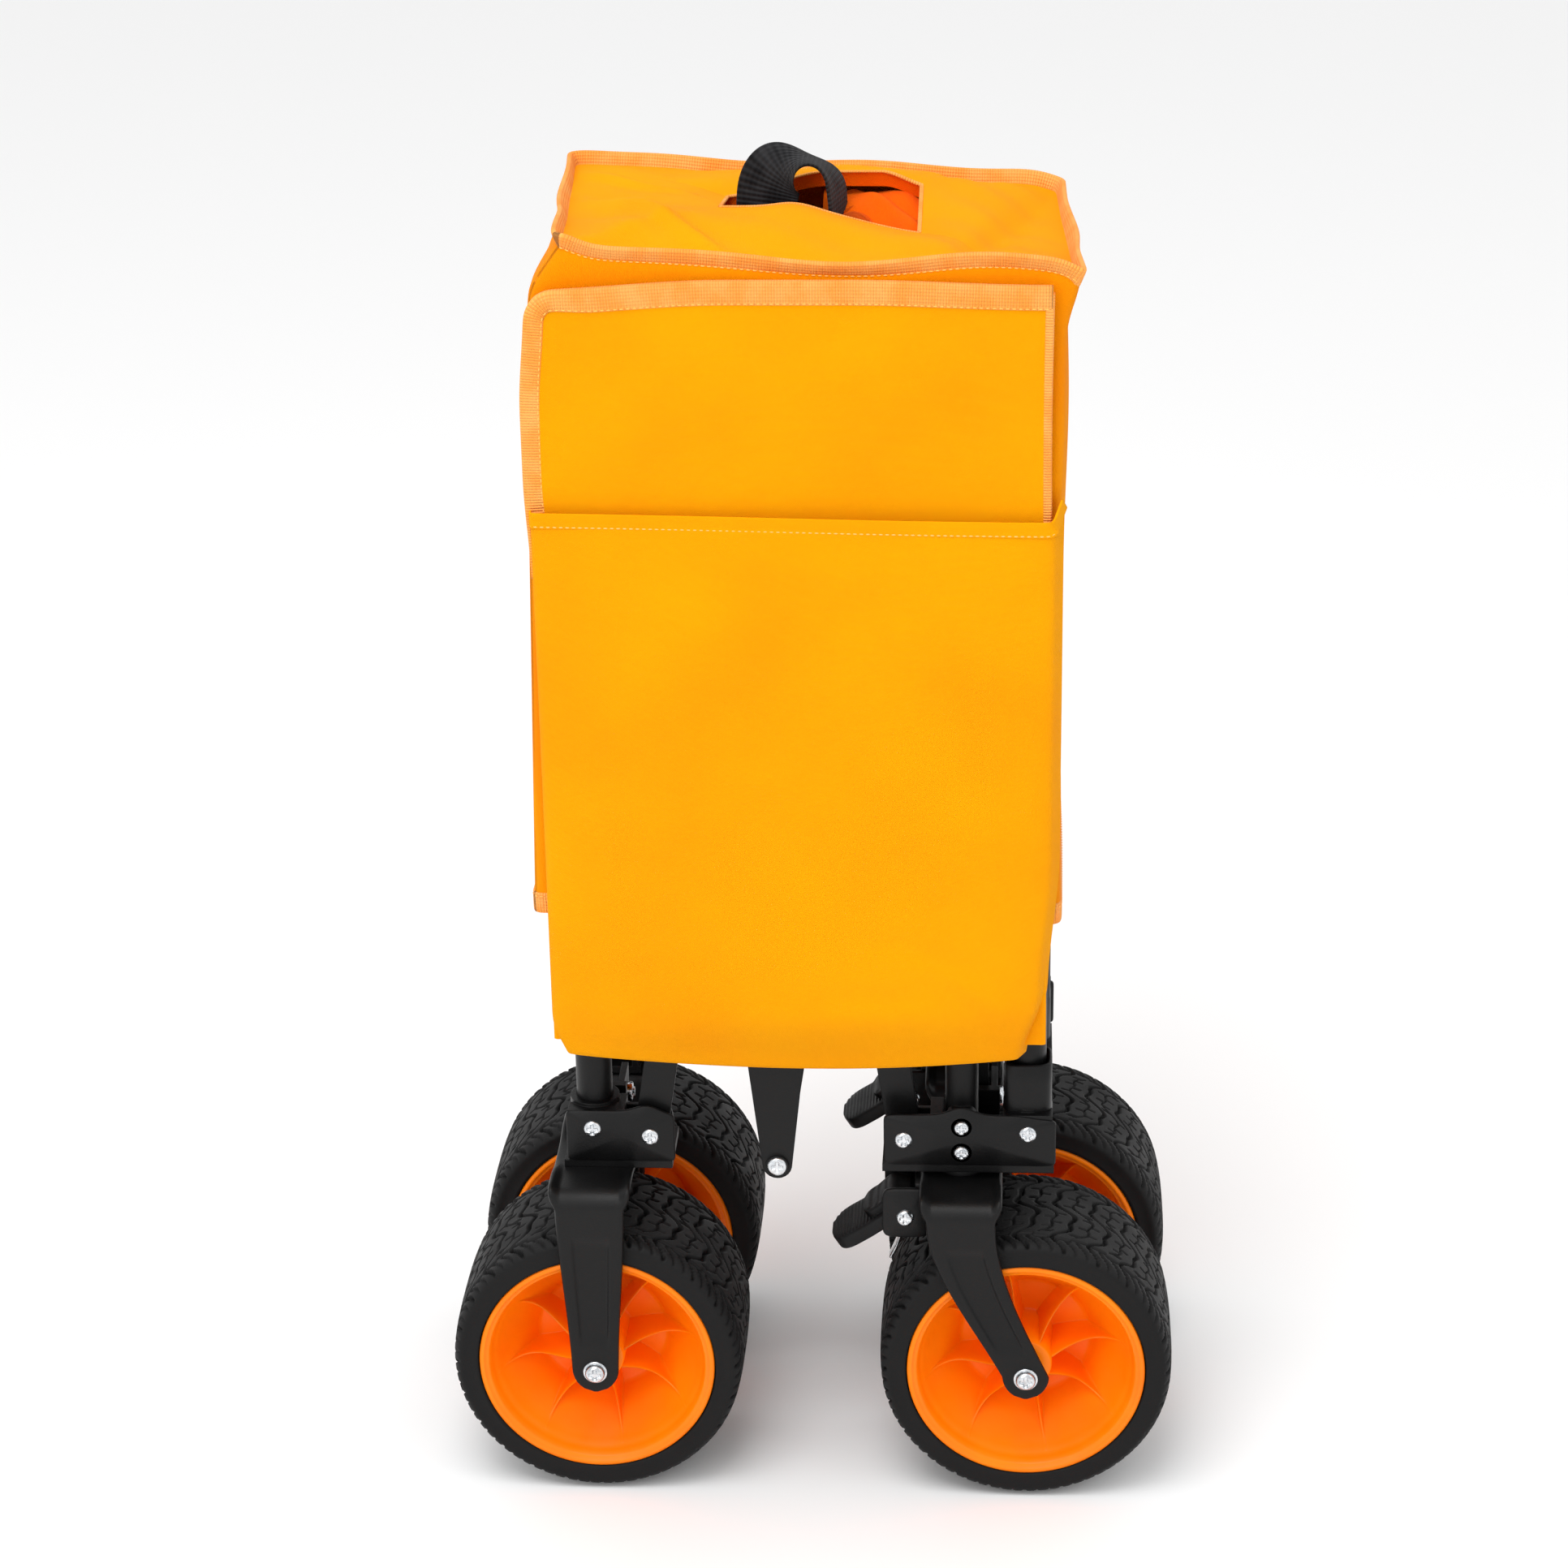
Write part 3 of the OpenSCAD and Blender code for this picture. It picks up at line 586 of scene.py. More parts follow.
def strip_path(top):
    """Path in across and height: up one arm, round a bend, over the wheel and down the other arm."""
    arm = np.linspace(AXLE_Z - ARM_END + 0.05, top - BEND_R, 60)
    a = np.linspace(0, math.pi / 2, 9)[1:-1]
    corner_y = ARM_MID - BEND_R + BEND_R * np.cos(a)
    corner_z = top - BEND_R + BEND_R * np.sin(a)
    half_y = np.concatenate([np.full(60, ARM_MID), corner_y])
    half_z = np.concatenate([arm, corner_z])
    flat_y = np.linspace(ARM_MID - BEND_R, BEND_R - ARM_MID, 16)
    y = np.concatenate([half_y, flat_y, -half_y[::-1]])
    z = np.concatenate([half_z, np.full(16, top), half_z[::-1]])
    return y, z


def fork(name, base_x, wheel_x, wheel_y, top, body, replaces):
    """Flat rounded section along the strip's path, with a pressed recess and turned-up edges."""
    y, z = strip_path(top - STRIP_T / 2)
    ty, tz = np.gradient(y), np.gradient(z)
    length = np.hypot(ty, tz)
    out_y, out_z = tz / length, -ty / length
    s = np.clip((top - 10 - z) / (top - 10 - AXLE_Z), 0, 1)
    sweep = s * s * (1.7 - 0.7 * s)
    centre_x = base_x + (wheel_x - base_x) * sweep
    half = 25 - 4 * smooth(top - z, 3, 12) - (21 - ARM_END) * smooth(s, 0.0, 1.1) ** 0.9
    below = np.clip((AXLE_Z - z) / ARM_END, 0, 1)
    half = np.where(z < AXLE_Z, ARM_END * np.sqrt(1 - below ** 2) + 0.05, half)
    there = np.linspace(1, -1, 52, endpoint=False)
    flat = np.concatenate([there, -there])[None]
    outer = np.repeat([1.0, 0.0], 52)[None]
    across = (2 * outer - 1) * np.sqrt(np.clip(1 - np.abs(flat) ** 26, 0, 1)) * STRIP_T / 2
    recess_ends = smooth(s, 0.16, 0.24) * smooth(0.86 - s, 0, 0.1)
    recess = 1.9 * smooth(0.6 - np.abs(flat), 0, 0.1) * recess_ends[:, None]
    over_wheel = smooth(z, top - 7, top - 3)[:, None]
    turned_up = 4.0 * smooth(np.abs(flat), 0.72, 0.95) * over_wheel * smooth(np.abs(y), 10, 34)[:, None]
    offset = across - recess * outer + turned_up
    x = centre_x[:, None] + flat * half[:, None]
    strip_y = wheel_y + y[:, None] + offset * out_y[:, None]
    points = np.stack([x, strip_y, z[:, None] + offset * out_z[:, None]], -1)
    return piece(name, [grid(points, wrap_v=True)], black_coat, body, replaces)


AXLE_X = middle("tyre_front_right")[0]
TRACK_Y = middle("tyre_front_left")[1]
CASTOR_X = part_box("fork_front_right")[0].x * 1000 + 42
FOOT_Z = 235.0
BASE_Z = 218.0
BRAKE_Z = middle("brake_pedal_right")[2] + 8.5


def ring_points(x0, x1, z0, z1, rounds=4):
    """A closed outline in x and z: a box whose corners are softened."""
    f = np.linspace(0, 1, 30, endpoint=False)
    x = np.concatenate([x0 + (x1 - x0) * f, x1 + 0 * f, x1 + (x0 - x1) * f, x0 + 0 * f])
    z = np.concatenate([z0 + 0 * f, z0 + (z1 - z0) * f, z1 + 0 * f, z1 + (z0 - z1) * f])
    return soften(np.stack([x, z], -1), rounds)


def slab(outline, y0, y1):
    """A small plate with soft edges: the outline shrinks to its middle on both faces."""
    centre = outline.mean(0)
    inset = centre + (outline - centre) * (1 - 0.9 / np.linalg.norm(outline - centre, axis=1, keepdims=True))
    step = 0.7 * np.sign(y1 - y0)
    rings = [(centre + 0 * outline, y0), (inset, y0), (outline, y0 + step), (outline, y1 - step), (inset, y1),
             (centre + 0 * outline, y1)]
    lines = [np.stack([r[:, 0], np.full(len(r), y), r[:, 1]], -1) for r, y in rings]
    return grid(np.stack(lines, 1), wrap_u=True)


def turned_pin(centre, axis, side, radii, heights, count=40):
    """A small turned part that stands out of a plate on one side."""
    return lathe(radii, side * np.asarray(heights, float), centre, axis, count)


for word, side in SIDES.items():
    fork("bent_fork_rear_" + word, -AXLE_X, -AXLE_X, side * TRACK_Y, FORK_TOP, f"rear_{word}_corner",
         ["fork_rear_" + word])
    top = FORK_TOP - 5
    mid_y = side * TRACK_Y
    fork("bent_fork_front_" + word, CASTOR_X, AXLE_X, mid_y, top, "castor_" + word, ["fork_front_" + word])
    ear = ring_points(CASTOR_X - 48, CASTOR_X - 20, BRAKE_Z - 14, top - 4, 34)
    lugs = [slab(ear, mid_y + s * 22, mid_y + s * 26) for s in (-1, 1)]
    web = slab(ring_points(CASTOR_X - 28, CASTOR_X - 23, top - 17, top - 2, 1), mid_y - 22, mid_y + 22)
    stem_radii = [15, 15, 14.2, 7, 7, 0.1]
    stem = turned_pin((CASTOR_X, mid_y, top), "z", 1, stem_radii, [-1, 3.8, 4.6, 4.7, 110, 110], 48)
    piece("castor_lugs_" + word, [*lugs, web, stem], black_coat, "castor_" + word)
print("forks, tops at", round(FORK_TOP, 1), round(FORK_TOP - 5, 1))

# %% [markdown]
# ## Bolts and rivets
# A pan head is a dome with a cross pressed into it. Its height falls smoothly to nothing at the rim and
# dips where the point lies near one of two crossing lines. Nuts are short lathed parts with six sides.

# %% Bolts


def pan_head(centre, axis, side, radius, height, washer=0.0):
    """Dome with a cross recess, on a flat washer if one is asked for."""
    a = np.linspace(0, TAU, 48, endpoint=False)[:, None]
    t = np.linspace(0, 1, 18)[None]
    r = radius * (1 - t) + 0 * a
    p, q = r * np.cos(a), r * np.sin(a)
    rise = height * (1 - (1 - t) ** 2.6) ** (1 / 2.6) + 0 * a
    line = smooth(0.24 * radius - np.minimum(np.abs(p), np.abs(q)), 0, 0.1 * radius)
    rise = rise - 0.45 * height * line * smooth(0.66 * radius - r, 0, 0.12 * radius)
    lifted = side * (rise + (1.2 if washer else 0))
    local = {"x": (lifted, p, q), "y": (p, lifted, q)}[axis]
    made = [grid(np.stack(local, -1) + np.asarray(centre, float), wrap_u=True)]
    if washer:
        made.append(turned_pin(centre, axis, side, [washer, washer, washer - 0.3, 0.1], [0, 0.9, 1.2, 1.2]))
    return made


def nut(centre, axis, side, radius, height):
    radii = [radius, radius, radius - 0.8, 3, 3, 0.1]
    heights = [0, height - 0.5, height, height, height + 1.2, height + 1.2]
    return turned_pin(centre, axis, side, radii, heights, 6)


def bar_pin(a, b, axis, radius):
    """A plain shank between two points on one axis."""
    a, b = np.asarray(a, float), np.asarray(b, float)
    k = "xyz".index(axis)
    return lathe([radius, radius], [0, b[k] - a[k]], a, axis, 20)


def corner_bolts(foot_x, post_x, end_x, side):
    """Pins of the side bar and the end bar, and the post's clamp screw."""
    y = side * 97
    end_y = side * 38.5
    return [*pan_head((foot_x, y, FOOT_Z), "y", side, 5.6, 3.4),
            nut((foot_x, side * 70, FOOT_Z), "y", -side, 6, 3.5),
            bar_pin((foot_x, side * 66.5, FOOT_Z), (foot_x, y, FOOT_Z), "y", 3.4),
            *pan_head((post_x, y, BASE_Z + 22), "y", side, 5.6, 3.4),
            *pan_head((end_x - 14.5, end_y, FOOT_Z), "x", -1, 6.0, 3.4),
            nut((end_x + 14.5, end_y, FOOT_Z), "x", 1, 6.2, 3.5),
            bar_pin((end_x - 14.5, end_y, FOOT_Z), (end_x + 14.5, end_y, FOOT_Z), "x", 3.4)]


def axle_bolt(x, side):
    """Bolt through fork and hub: domed head outside, nut inside."""
    mid = side * TRACK_Y
    return [*pan_head((x, mid + side * 55, AXLE_Z), "y", side, 6.2, 4.2, 7.4),
            nut((x, mid - side * 55, AXLE_Z), "y", -side, 10, 6),
            bar_pin((x, mid - side * 55, AXLE_Z), (x, mid + side * 55, AXLE_Z), "y", 5.9)]


for word, side in SIDES.items():
    rear_bolts = corner_bolts(-97, -AXLE_X, -131, side) + axle_bolt(-AXLE_X, side)
    piece("zinc_bolts_rear_" + word, rear_bolts, bright_zinc, f"rear_{word}_corner",
          ["bolts_rear_" + word])
    screws = [g for z in (BASE_Z + 9, BASE_Z + 26)
              for g in pan_head((CASTOR_X, side * 97, z), "y", side, 4.6, 3.0, 6.6)]
    piece("zinc_bolts_front_" + word, corner_bolts(57, AXLE_X, CASTOR_X + 7, side) + screws, bright_zinc,
          f"front_{word}_corner", ["bolts_front_" + word])
    piece("zinc_axle_front_" + word, axle_bolt(AXLE_X, side), bright_zinc, "castor_" + word,
          ["axle_front_" + word])
    piece("zinc_hinge_rivet_" + word, pan_head((-20, side * 96.8, 215), "y", side, 6.0, 1.8), bright_zinc,
          f"side_bar_{word}_3")
print("bolts ready")

# %% [markdown]
# ## Clamp cheeks, sleeves and brakes
# The outer cheek of each clamp is pressed sheet, higher round its screws. The front posts have a square
# sleeve. A brake has a sloping ribbed pad, a shorter pad above it and a sprung steel tongue below, all
# carried along short paths. The ribs are a sine of the distance along the pad, kept to its upper face.

# %% Cheeks, sleeves and brakes


def cheek(x0, x1, rise_x, side):
    """Pressed outer plate of a clamp; its top is raised by the screws and falls a little towards its end."""
    outline = ring_points(x0, x1, BASE_Z, 252, 5)
    upper = smooth(outline[:, 1], 235, 250)
    raised = 5 * bump(outline[:, 0], rise_x, 10) - 2.5 * smooth(outline[:, 0], x1 - 26, x1 - 6)
    outline[:, 1] += upper * raised
    return slab(outline, side * 95.5, side * 98.2)


def sleeve(x, side):
    """Short square tube round a post."""
    a = np.linspace(0, TAU, 60, endpoint=False)[:, None]
    size = np.array([14.5, 14.5, 14.5, 13.7, 12.4, 12.4])[None]
    z = np.array([250, 270, 282.5, 283.3, 283.3, 260])[None]
    px = x + size * np.sign(np.cos(a)) * np.abs(np.cos(a)) ** 0.45
    py = side * TRACK_Y + size * np.sign(np.sin(a)) * np.abs(np.sin(a)) ** 0.45
    return grid(np.stack([px, py, z + 0 * a], -1), wrap_u=True)


def pad_path(places, count=50):
    """A smooth path through a few places in x and z, evenly spaced."""
    places = np.asarray(places, float)
    length = along(places)
    fine = np.linspace(0, length[-1], count)
    x, z = (np.interp(fine, length, places[:, k]) for k in (0, 1))
    return soften(np.stack([x, 0 * fine, z], -1), 6, closed=False)


def brake_pad(places, centre, half, thick, pitch, ridge):
    path = pad_path(places, 90) + centre
    distance = along(path)
    share = distance / distance[-1]
    width = 2 * half * np.sqrt(np.clip(1 - np.clip((share - 0.72) / 0.30, 0, 1) ** 2.6, 0.05, 1))
    made = ribbon(path, (0, 1, 0), width, thick, square=0.3, count=48)
    points = made[0]
    trimmed = np.concatenate([path[:1], path, path[-1:]])
    over = points[..., 2] - trimmed[:, None, 2]
    on_top = (over > thick * 0.3) * smooth(half - 3 - np.abs(points[..., 1] - centre[1]), 0, 1)
    wave = np.sin(np.concatenate([distance[:1], distance, distance[-1:]]) * TAU / pitch)
    shown = smooth(np.concatenate([share[:1], share, share[-1:]]), 0.25, 0.4)
    points[..., 2] += ridge * (wave * shown)[:, None] * on_top
    return grid(points, wrap_v=True, uv=made[3])


for word, side in SIDES.items():
    piece("clamp_cheek_rear_" + word, [cheek(-148, -82, -97, side)], black_coat, f"rear_{word}_corner")
    piece("clamp_cheek_front_" + word, [cheek(45, 149, CASTOR_X, side), sleeve(AXLE_X, side)], black_coat,
          f"front_{word}_corner")
    pivot = np.array([CASTOR_X - 34, side * TRACK_Y, BRAKE_Z])
    low_pad = brake_pad([(2, 0), (-10, -5), (-24, -15), (-43, -27)], pivot, 20, 10, 2.6, 0.5)
    high_pad = brake_pad([(2, 4), (-8, 6), (-16, -2), (-25, -8)], pivot, 15, 7, 6.5, 0.5)
    hub = lathe([0.1, 7, 7.5, 7.5, 7, 0.1], [-21, -21, -20.4, 20.4, 21, 21], pivot, "y", 32)
    piece("brake_pad_" + word, [low_pad, high_pad, hub], nylon, "brake_" + word,
          ["brake_pedal_" + word])
    tongue_path = pad_path([(3, -7), (0, -16), (-4, -24), (-6, -32), (-10, -41)], 40) + pivot
    tongue = ribbon(tongue_path, (0, 1, 0), np.linspace(19, 9, 40), 1.5, square=0.4)
    coil = lathe([0.1, 3.6, 3.6, 0.1], [-11, -11, 11, 11], pivot + np.array([-4, 0, -16]), "y", 24)
    tips = [g for s in (-1, 1) for g in pan_head(pivot + np.array([0, s * 26, 0]), "y", s, 5.4, 3.0)]
    piece("brake_tongue_" + word, [tongue, coil], bright_zinc, "brake_" + word,
          ["brake_blade_" + word])
    piece("brake_screws_" + word, tips, bright_zinc, "castor_" + word)
print("brake pivot height", round(BRAKE_Z, 1))

# %% [markdown]
# ## The hood
# The hood is a box of cloth pulled over the folded frame. Its top is a lid with a slot, joined to the
# walls by a standing seam in binding tape. The top line is a gentle slope with a dip, a rise and drooping
# corners, each a round bump added to a straight line. The walls flare a little down to the hem, with long
# soft folds. Every ring has the same number of points, so the wall is the grid between two rings.

# %% Hood walls and lid
HOOD_Y = 103.0
SLOT_X = (-47.0, 66.0)
SLOT_Y = (-22.0, 36.0)
ALONG_X, ALONG_Y = 110, 76


def rectangle(left_front, left_back, right_front, right_back, front, back):
    """A ring of points from the front left corner: along the front, back along the right, and round."""
    fx = np.linspace(0, 1, ALONG_X, endpoint=False)
    fy = np.linspace(0, 1, ALONG_Y, endpoint=False)
    x = np.concatenate([left_front + (right_front - left_front) * fx,
                        right_front + (right_back - right_front) * fy,
                        right_back + (left_back - right_back) * fx,
                        left_back + (left_front - left_back) * fy])
    y = np.concatenate([front + 0 * fx, front + (back - front) * fy,
                        back + 0 * fx, back + (front - back) * fy])
    return np.stack([x, y], -1)


def lid_height(x, y):
    """Height of the lid's seam: a slope with puckers along the front, calmer along the back."""
    front = 780 - 0.035 * x - 4.5 * bump(x, 20, 60) + 4 * bump(x, 108, 42) + 8 * bump(x, -136, 18)
    front = front - 8 * bump(x, 164, 14)
    back = 780 - 0.035 * x - 7 * bump(x, 153, 18) + 2.5 * bump(x, -145, 26) + 1.5 * np.sin(x / 21)
    t = smooth(y, -HOOD_Y, HOOD_Y)
    sag = 5 * np.sin(math.pi * t) * smooth(np.abs(x), 100, 135)
    return front * (1 - t) + back * t - sag


def slot_height(x, y):
    """Height of the slot's edge: the front lip droops to the right, the back lip arches up."""
    front = 792 - 16 * smooth(x, -14, 78) + 2.2 * bump(x, -4, 15)
    back = 783 + 15 * smooth(x, -52, 12) - 9 * smooth(x, 42, 72)
    t = (y - SLOT_Y[0]) / (SLOT_Y[1] - SLOT_Y[0])
    return front * (1 - t) + back * t


def hood_ring(drop):
    """Plan of the hood at a depth below its seam: pinched at the seam, flared at the hem."""
    left = -141 - 8 * smooth(drop, 0, 30) - 11 * drop / 395
    right = 154 - 5.5 * smooth(drop, 0, 32) - 2.5 * smooth(drop, 70, 180) + 3 * smooth(drop, 250, 395)
    pinch = math.exp(-drop / 16)
    ring = rectangle(left + 11 * pinch, left - 4 * pinch, right + 2 * pinch, right - 8 * pinch,
                     -HOOD_Y, HOOD_Y)
    return soften(ring, 7)


seam_plan = hood_ring(0.0)
seam = np.column_stack([seam_plan, lid_height(seam_plan[:, 0], seam_plan[:, 1])])
hem_z = 386 - 3 * np.sin(seam_plan[:, 0] / 60) + 2 * np.sin(seam_plan[:, 1] / 34)
rows = np.concatenate([np.linspace(0, 36, 13), np.linspace(40, 395, 72)])
wall_rings = np.stack([hood_ring(d) for d in rows], 1)
fall = rows / 395
wall_z = seam[:, 2:3] * (1 - fall) + hem_z[:, None] * fall
around_mm = along(np.vstack([seam, seam[:1]]))[:-1]
centre_out = unit(np.stack([wall_rings[..., 0] * 0.7, wall_rings[..., 1]], -1))
turn = np.arange(len(seam)) / len(seam) * TAU
side_share = smooth(np.abs(wall_rings[..., 0]), 118, 150)
folds = 2.0 * np.sin(7 * turn[:, None] + 2.2 * fall) + 1.3 * np.sin(15 * turn[:, None] - 3 * fall + 1)
folds = folds * np.sin(math.pi * np.clip(fall * 1.05, 0, 1)) * (0.3 + 0.9 * side_share)
back_share = smooth(wall_rings[..., 1], 60, 100)
folds = folds + 1.6 * back_share * np.sin(math.pi * fall) * np.sin(wall_rings[..., 0] / 23 + 4 * fall)
keep_front = 1 - smooth(-wall_rings[..., 1], 70, 100)
fullness = 1.4 + np.abs(folds) * 0.9 * keep_front
wall_plan = wall_rings + centre_out * fullness[..., None]
wall_plan[:, 0] = wall_rings[:, 0]
wall_points = np.concatenate([wall_plan, wall_z[..., None]], -1)
wall_uv = np.stack([around_mm[:, None] * MM + 0 * rows, rows[None] * MM + 0 * around_mm[:, None]], -1)
# The walls take the darker copy of the hood cloth: painted shade on the walls.
hood_wall = piece("hood_walls", [grid(wall_points, wrap_u=True, uv=wall_uv)], shaded_hood_wall_cloth, "cover",
                  ["cover_hood"])

inner_plan = rectangle(SLOT_X[0], SLOT_X[0], SLOT_X[1], SLOT_X[1], *SLOT_Y)
inner = np.column_stack([inner_plan, slot_height(inner_plan[:, 0], inner_plan[:, 1])])
v = np.linspace(0, 1, 44)[None, :, None]
lid_points = seam[:, None] * (1 - v) + inner[:, None] * v
ease = smooth(v[..., 0], 0, 1)
lift = seam[:, None, 2] * (1 - ease) + inner[:, None, 2] * ease
lx, ly = lid_points[..., 0], lid_points[..., 1]
pucker = 2.2 * np.sin(lx / 13 + ly / 17) * np.sin(ly / 12 + 1) + 7.0 * bump(lx + 0.8 * ly, -118, 9)
pucker = pucker - 6.5 * bump(lx - 0.3 * ly, 118, 10) + 4.5 * bump(lx + 1.3 * ly, -40, 9) * smooth(-lx, 50, 80)
pucker = pucker - 4.5 * bump(lx - 1.1 * ly, 12, 7) * smooth(lx, 66, 90)
lid_points[..., 2] = lift + pucker * np.sin(math.pi * v[..., 0]) + 2.5 * np.sin(math.pi * v[..., 0])
lid_uv = lid_points[..., :2] * MM
lid = piece("hood_lid", [grid(lid_points, wrap_u=True, uv=lid_uv)], hood_cloth, "cover")
print("hood walls and lid:", len(hood_wall.data.polygons), len(lid.data.polygons))

# %% [markdown]
# The seam between lid and walls stands up as a taped rib. It leans outwards and waves a little, because
# the cloth was gathered under it. The slot has a narrow folded facing, and the hem has a turned-up tape.

# %% Bindings of the hood
seam_out = unit(np.column_stack([seam[:, 0] * 0.55, seam[:, 1], 0 * seam[:, 0]]))
wave = np.sin(around_mm / 19)[:, None]
edge_path = seam + seam_out * (1.2 + 0.6 * wave) + np.array([0, 0, 1.6])
edge_path[:, 1] = np.maximum(edge_path[:, 1], edge_path[:, 1].min() + 2.4)
edge_across = seam_out * (0.45 + 0.15 * wave) + np.array([0, 0, 1.0])
edge_tape = ribbon(edge_path, edge_across, 13, 3.6, closed=True, square=0.6)
edge_line = edge_path + seam_out * 1.5 - np.array([0, 0, 2.6])
lid_tape = piece("lid_edge_tape", [edge_tape], binding_tape, "cover")
hem_path = wall_points[:, -1] + np.array([0, 0, 5.0])
hem_band = ribbon(hem_path, (0, 0, 1), 13, 1.8, closed=True)
hem_tape = piece("hood_hem_tape", [hem_band], binding_tape, "cover")
drop = np.linspace(0, 1, 5)[None, :, None]
slot_out = unit(np.column_stack([inner_plan - [9.5, 7.0], 0 * inner_plan[:, 0]]))
facing = inner[:, None] + slot_out[:, None] * (0.4 + 2.2 * drop) - np.array([0, 0, 9.0]) * drop
facing_uv = np.stack(np.broadcast_arrays(along(inner)[:, None] * MM, drop[..., 0] * 0.009), -1)
facing_grid = grid(facing, wrap_u=True, uv=facing_uv)
facing_piece = piece("slot_facing", [facing_grid], tub_cloth, "cover")
rim_line = ribbon(inner + np.array([0, 0, 0.2]), slot_out, 2.4, 1.2, closed=True, count=10)
slot_fold = piece("slot_folded_edge", [rim_line], binding_tape, "cover")
sewn = [stitches(edge_line[:ALONG_X], (0, -1, 0.4)),
        stitches(hem_path + seam_out * 1.2 + np.array([0, 0, 4.5]), seam_out)]
hood_thread = piece("hood_stitches", sewn, thread_finish, "cover")

# %% [markdown]
# ## The front pocket
# The pocket is one sheet: a short gusset, the wide front, and a gusset again, so its plan is an open
# bracket. The front swells outwards below its hem and folds under at the bottom. Low on the right it is
# drawn in by a tuck, and faint creases run from there. Each crease is a long thin bump, turned.

# %% Pocket
POCKET_BACK = -105.5


def crease(x, z, at_x, at_z, length, width, angle):
    """A long thin bump at a place, turned by an angle in degrees."""
    a = math.radians(angle)
    p = (x - at_x) * math.cos(a) + (z - at_z) * math.sin(a)
    q = (z - at_z) * math.cos(a) - (x - at_x) * math.sin(a) + 4 * np.sin(p / length * 2)
    return np.exp(-(p / length) ** 2 - (q / width) ** 2)


def pocket_front(x, z):
    """How far forward the front stands at a place: flat at the hem, fullest in the lower half."""
    across = np.clip((x + 151) / 295, 0, 1)
    height = np.clip((z - 296) / 345, 0, 1)
    full = np.sin(math.pi * across) ** 0.55 * (1 - height) ** 0.55 * smooth(height, -0.02, 0.12)
    y = -118.5 - 15.5 * full
    y = y - 2.8 * crease(x, z, 96, 352, 30, 3.2, 152) + 2.4 * crease(x, z, 70, 372, 26, 4, 168)
    y = y - 2.2 * crease(x, z, 118, 330, 22, 2.6, 128) + 2.0 * crease(x, z, 40, 345, 30, 5, 12)
    y = y - 1.0 * crease(x, z, -86, 318, 26, 5, 24) - 0.7 * crease(x, z, 10, 610, 60, 8, -4)
    return y - 1.1 * crease(x, z, -20, 560, 90, 26, 4) + 0.6 * np.sin(x / 37) * np.sin(z / 61)


def pocket_right(z):
    """Right edge of the front: straight, then drawn in by the tuck at the bottom."""
    return 143.5 - 6 * smooth(-z, -430, -344) - 12.5 * smooth(-z, -346, -298)


def pocket_sheet():
    """Rows down the pocket and under it, columns round its plan."""
    down = np.linspace(0, 1, 118)
    front_u = np.linspace(0, 1, 170)
    side_u = np.linspace(0, 1, 12)
    top = 641 - 5 * front_u
    bottom = 301 - 10 * np.sin(math.pi * np.clip(front_u * 0.9 + 0.02, 0, 1)) ** 0.8 + 1.5 * front_u
    z = top[:, None] * (1 - down) + bottom[:, None] * down
    right = pocket_right(z)
    left = -151 + 9 * smooth(-z, -324, -297)
    x = left + (right - left) * front_u[:, None]
    y = pocket_front(x, z)
    z_left = np.repeat(z[:1], 12, 0)
    z_right = z[-1:] + side_u[:, None] * 12 * (1 - down) ** 6
    x_left = np.repeat(left[:1], 12, 0)
    x_right = right[-1:] + side_u[:, None] * 5.5
    y_left = POCKET_BACK + (y[:1] - POCKET_BACK) * side_u[:, None]
    y_right = y[-1:] + (POCKET_BACK - 1 - y[-1:]) * side_u[:, None]
    grid_x = np.vstack([x_left[:-1], x, x_right[1:]])
    grid_y = np.vstack([y_left[:-1], y, y_right[1:]])
    grid_z = np.vstack([z_left[:-1], z, z_right[1:]])
    sheet = np.stack([grid_x, grid_y, grid_z], -1)
    under = np.linspace(0, 1, 11)[1:][None, :, None]
    last = sheet[:, -1:]
    back = last.copy()
    back[..., 1] = POCKET_BACK
    back[..., 2] += 5
    under_rows = last * (1 - under) + back * under
    sheet = np.concatenate([sheet, under_rows], 1)
    sheet = soften(sheet, 5, closed=False)
    top_rows = sheet[:, :3].copy()
    sheet = soften(sheet.transpose(1, 0, 2), 4, closed=False).transpose(1, 0, 2)
    sheet[:, :3] = top_rows
    return sheet


pocket_points = pocket_sheet()
pocket_along = along(pocket_points[:, 60]) * MM
pocket_down = along(pocket_points[90]) * MM
pocket_uv = np.stack(np.broadcast_arrays(pocket_along[:, None], pocket_down[None]), -1)
pocket = piece("front_pocket", [grid(pocket_points, uv=pocket_uv)], hood_cloth, "cover",
               ["cover_pocket"])
hem_row = pocket_points[:, 0]
hem_fold = ribbon(hem_row + np.array([0, -0.3, -4.2]), (0, 0, 1), 9.4, 1.5, count=14, square=0.4)
hem_fold_piece = piece("pocket_hem", [hem_fold], hood_cloth, "cover")
pocket_stitch = stitches(hem_row + np.array([0, -1.05, -7.6]), (0, -1, 0))
pocket_thread = piece("pocket_stitches", [pocket_stitch], thread_finish, "cover")

# %% [markdown]
# ## The stiff panel
# A board in a cloth sleeve stands in the pocket. Its plan is a thin flat loop, carried up from the
# pocket to the top. The top left corner is rounded, and tape binds the edges over the board.

# %% Panel
panel_low, panel_high = (np.array(c) * 1000 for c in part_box("stiff_panel"))
PANEL_Y = (panel_low[1] + panel_high[1]) / 2
PANEL_TOP = 770.0


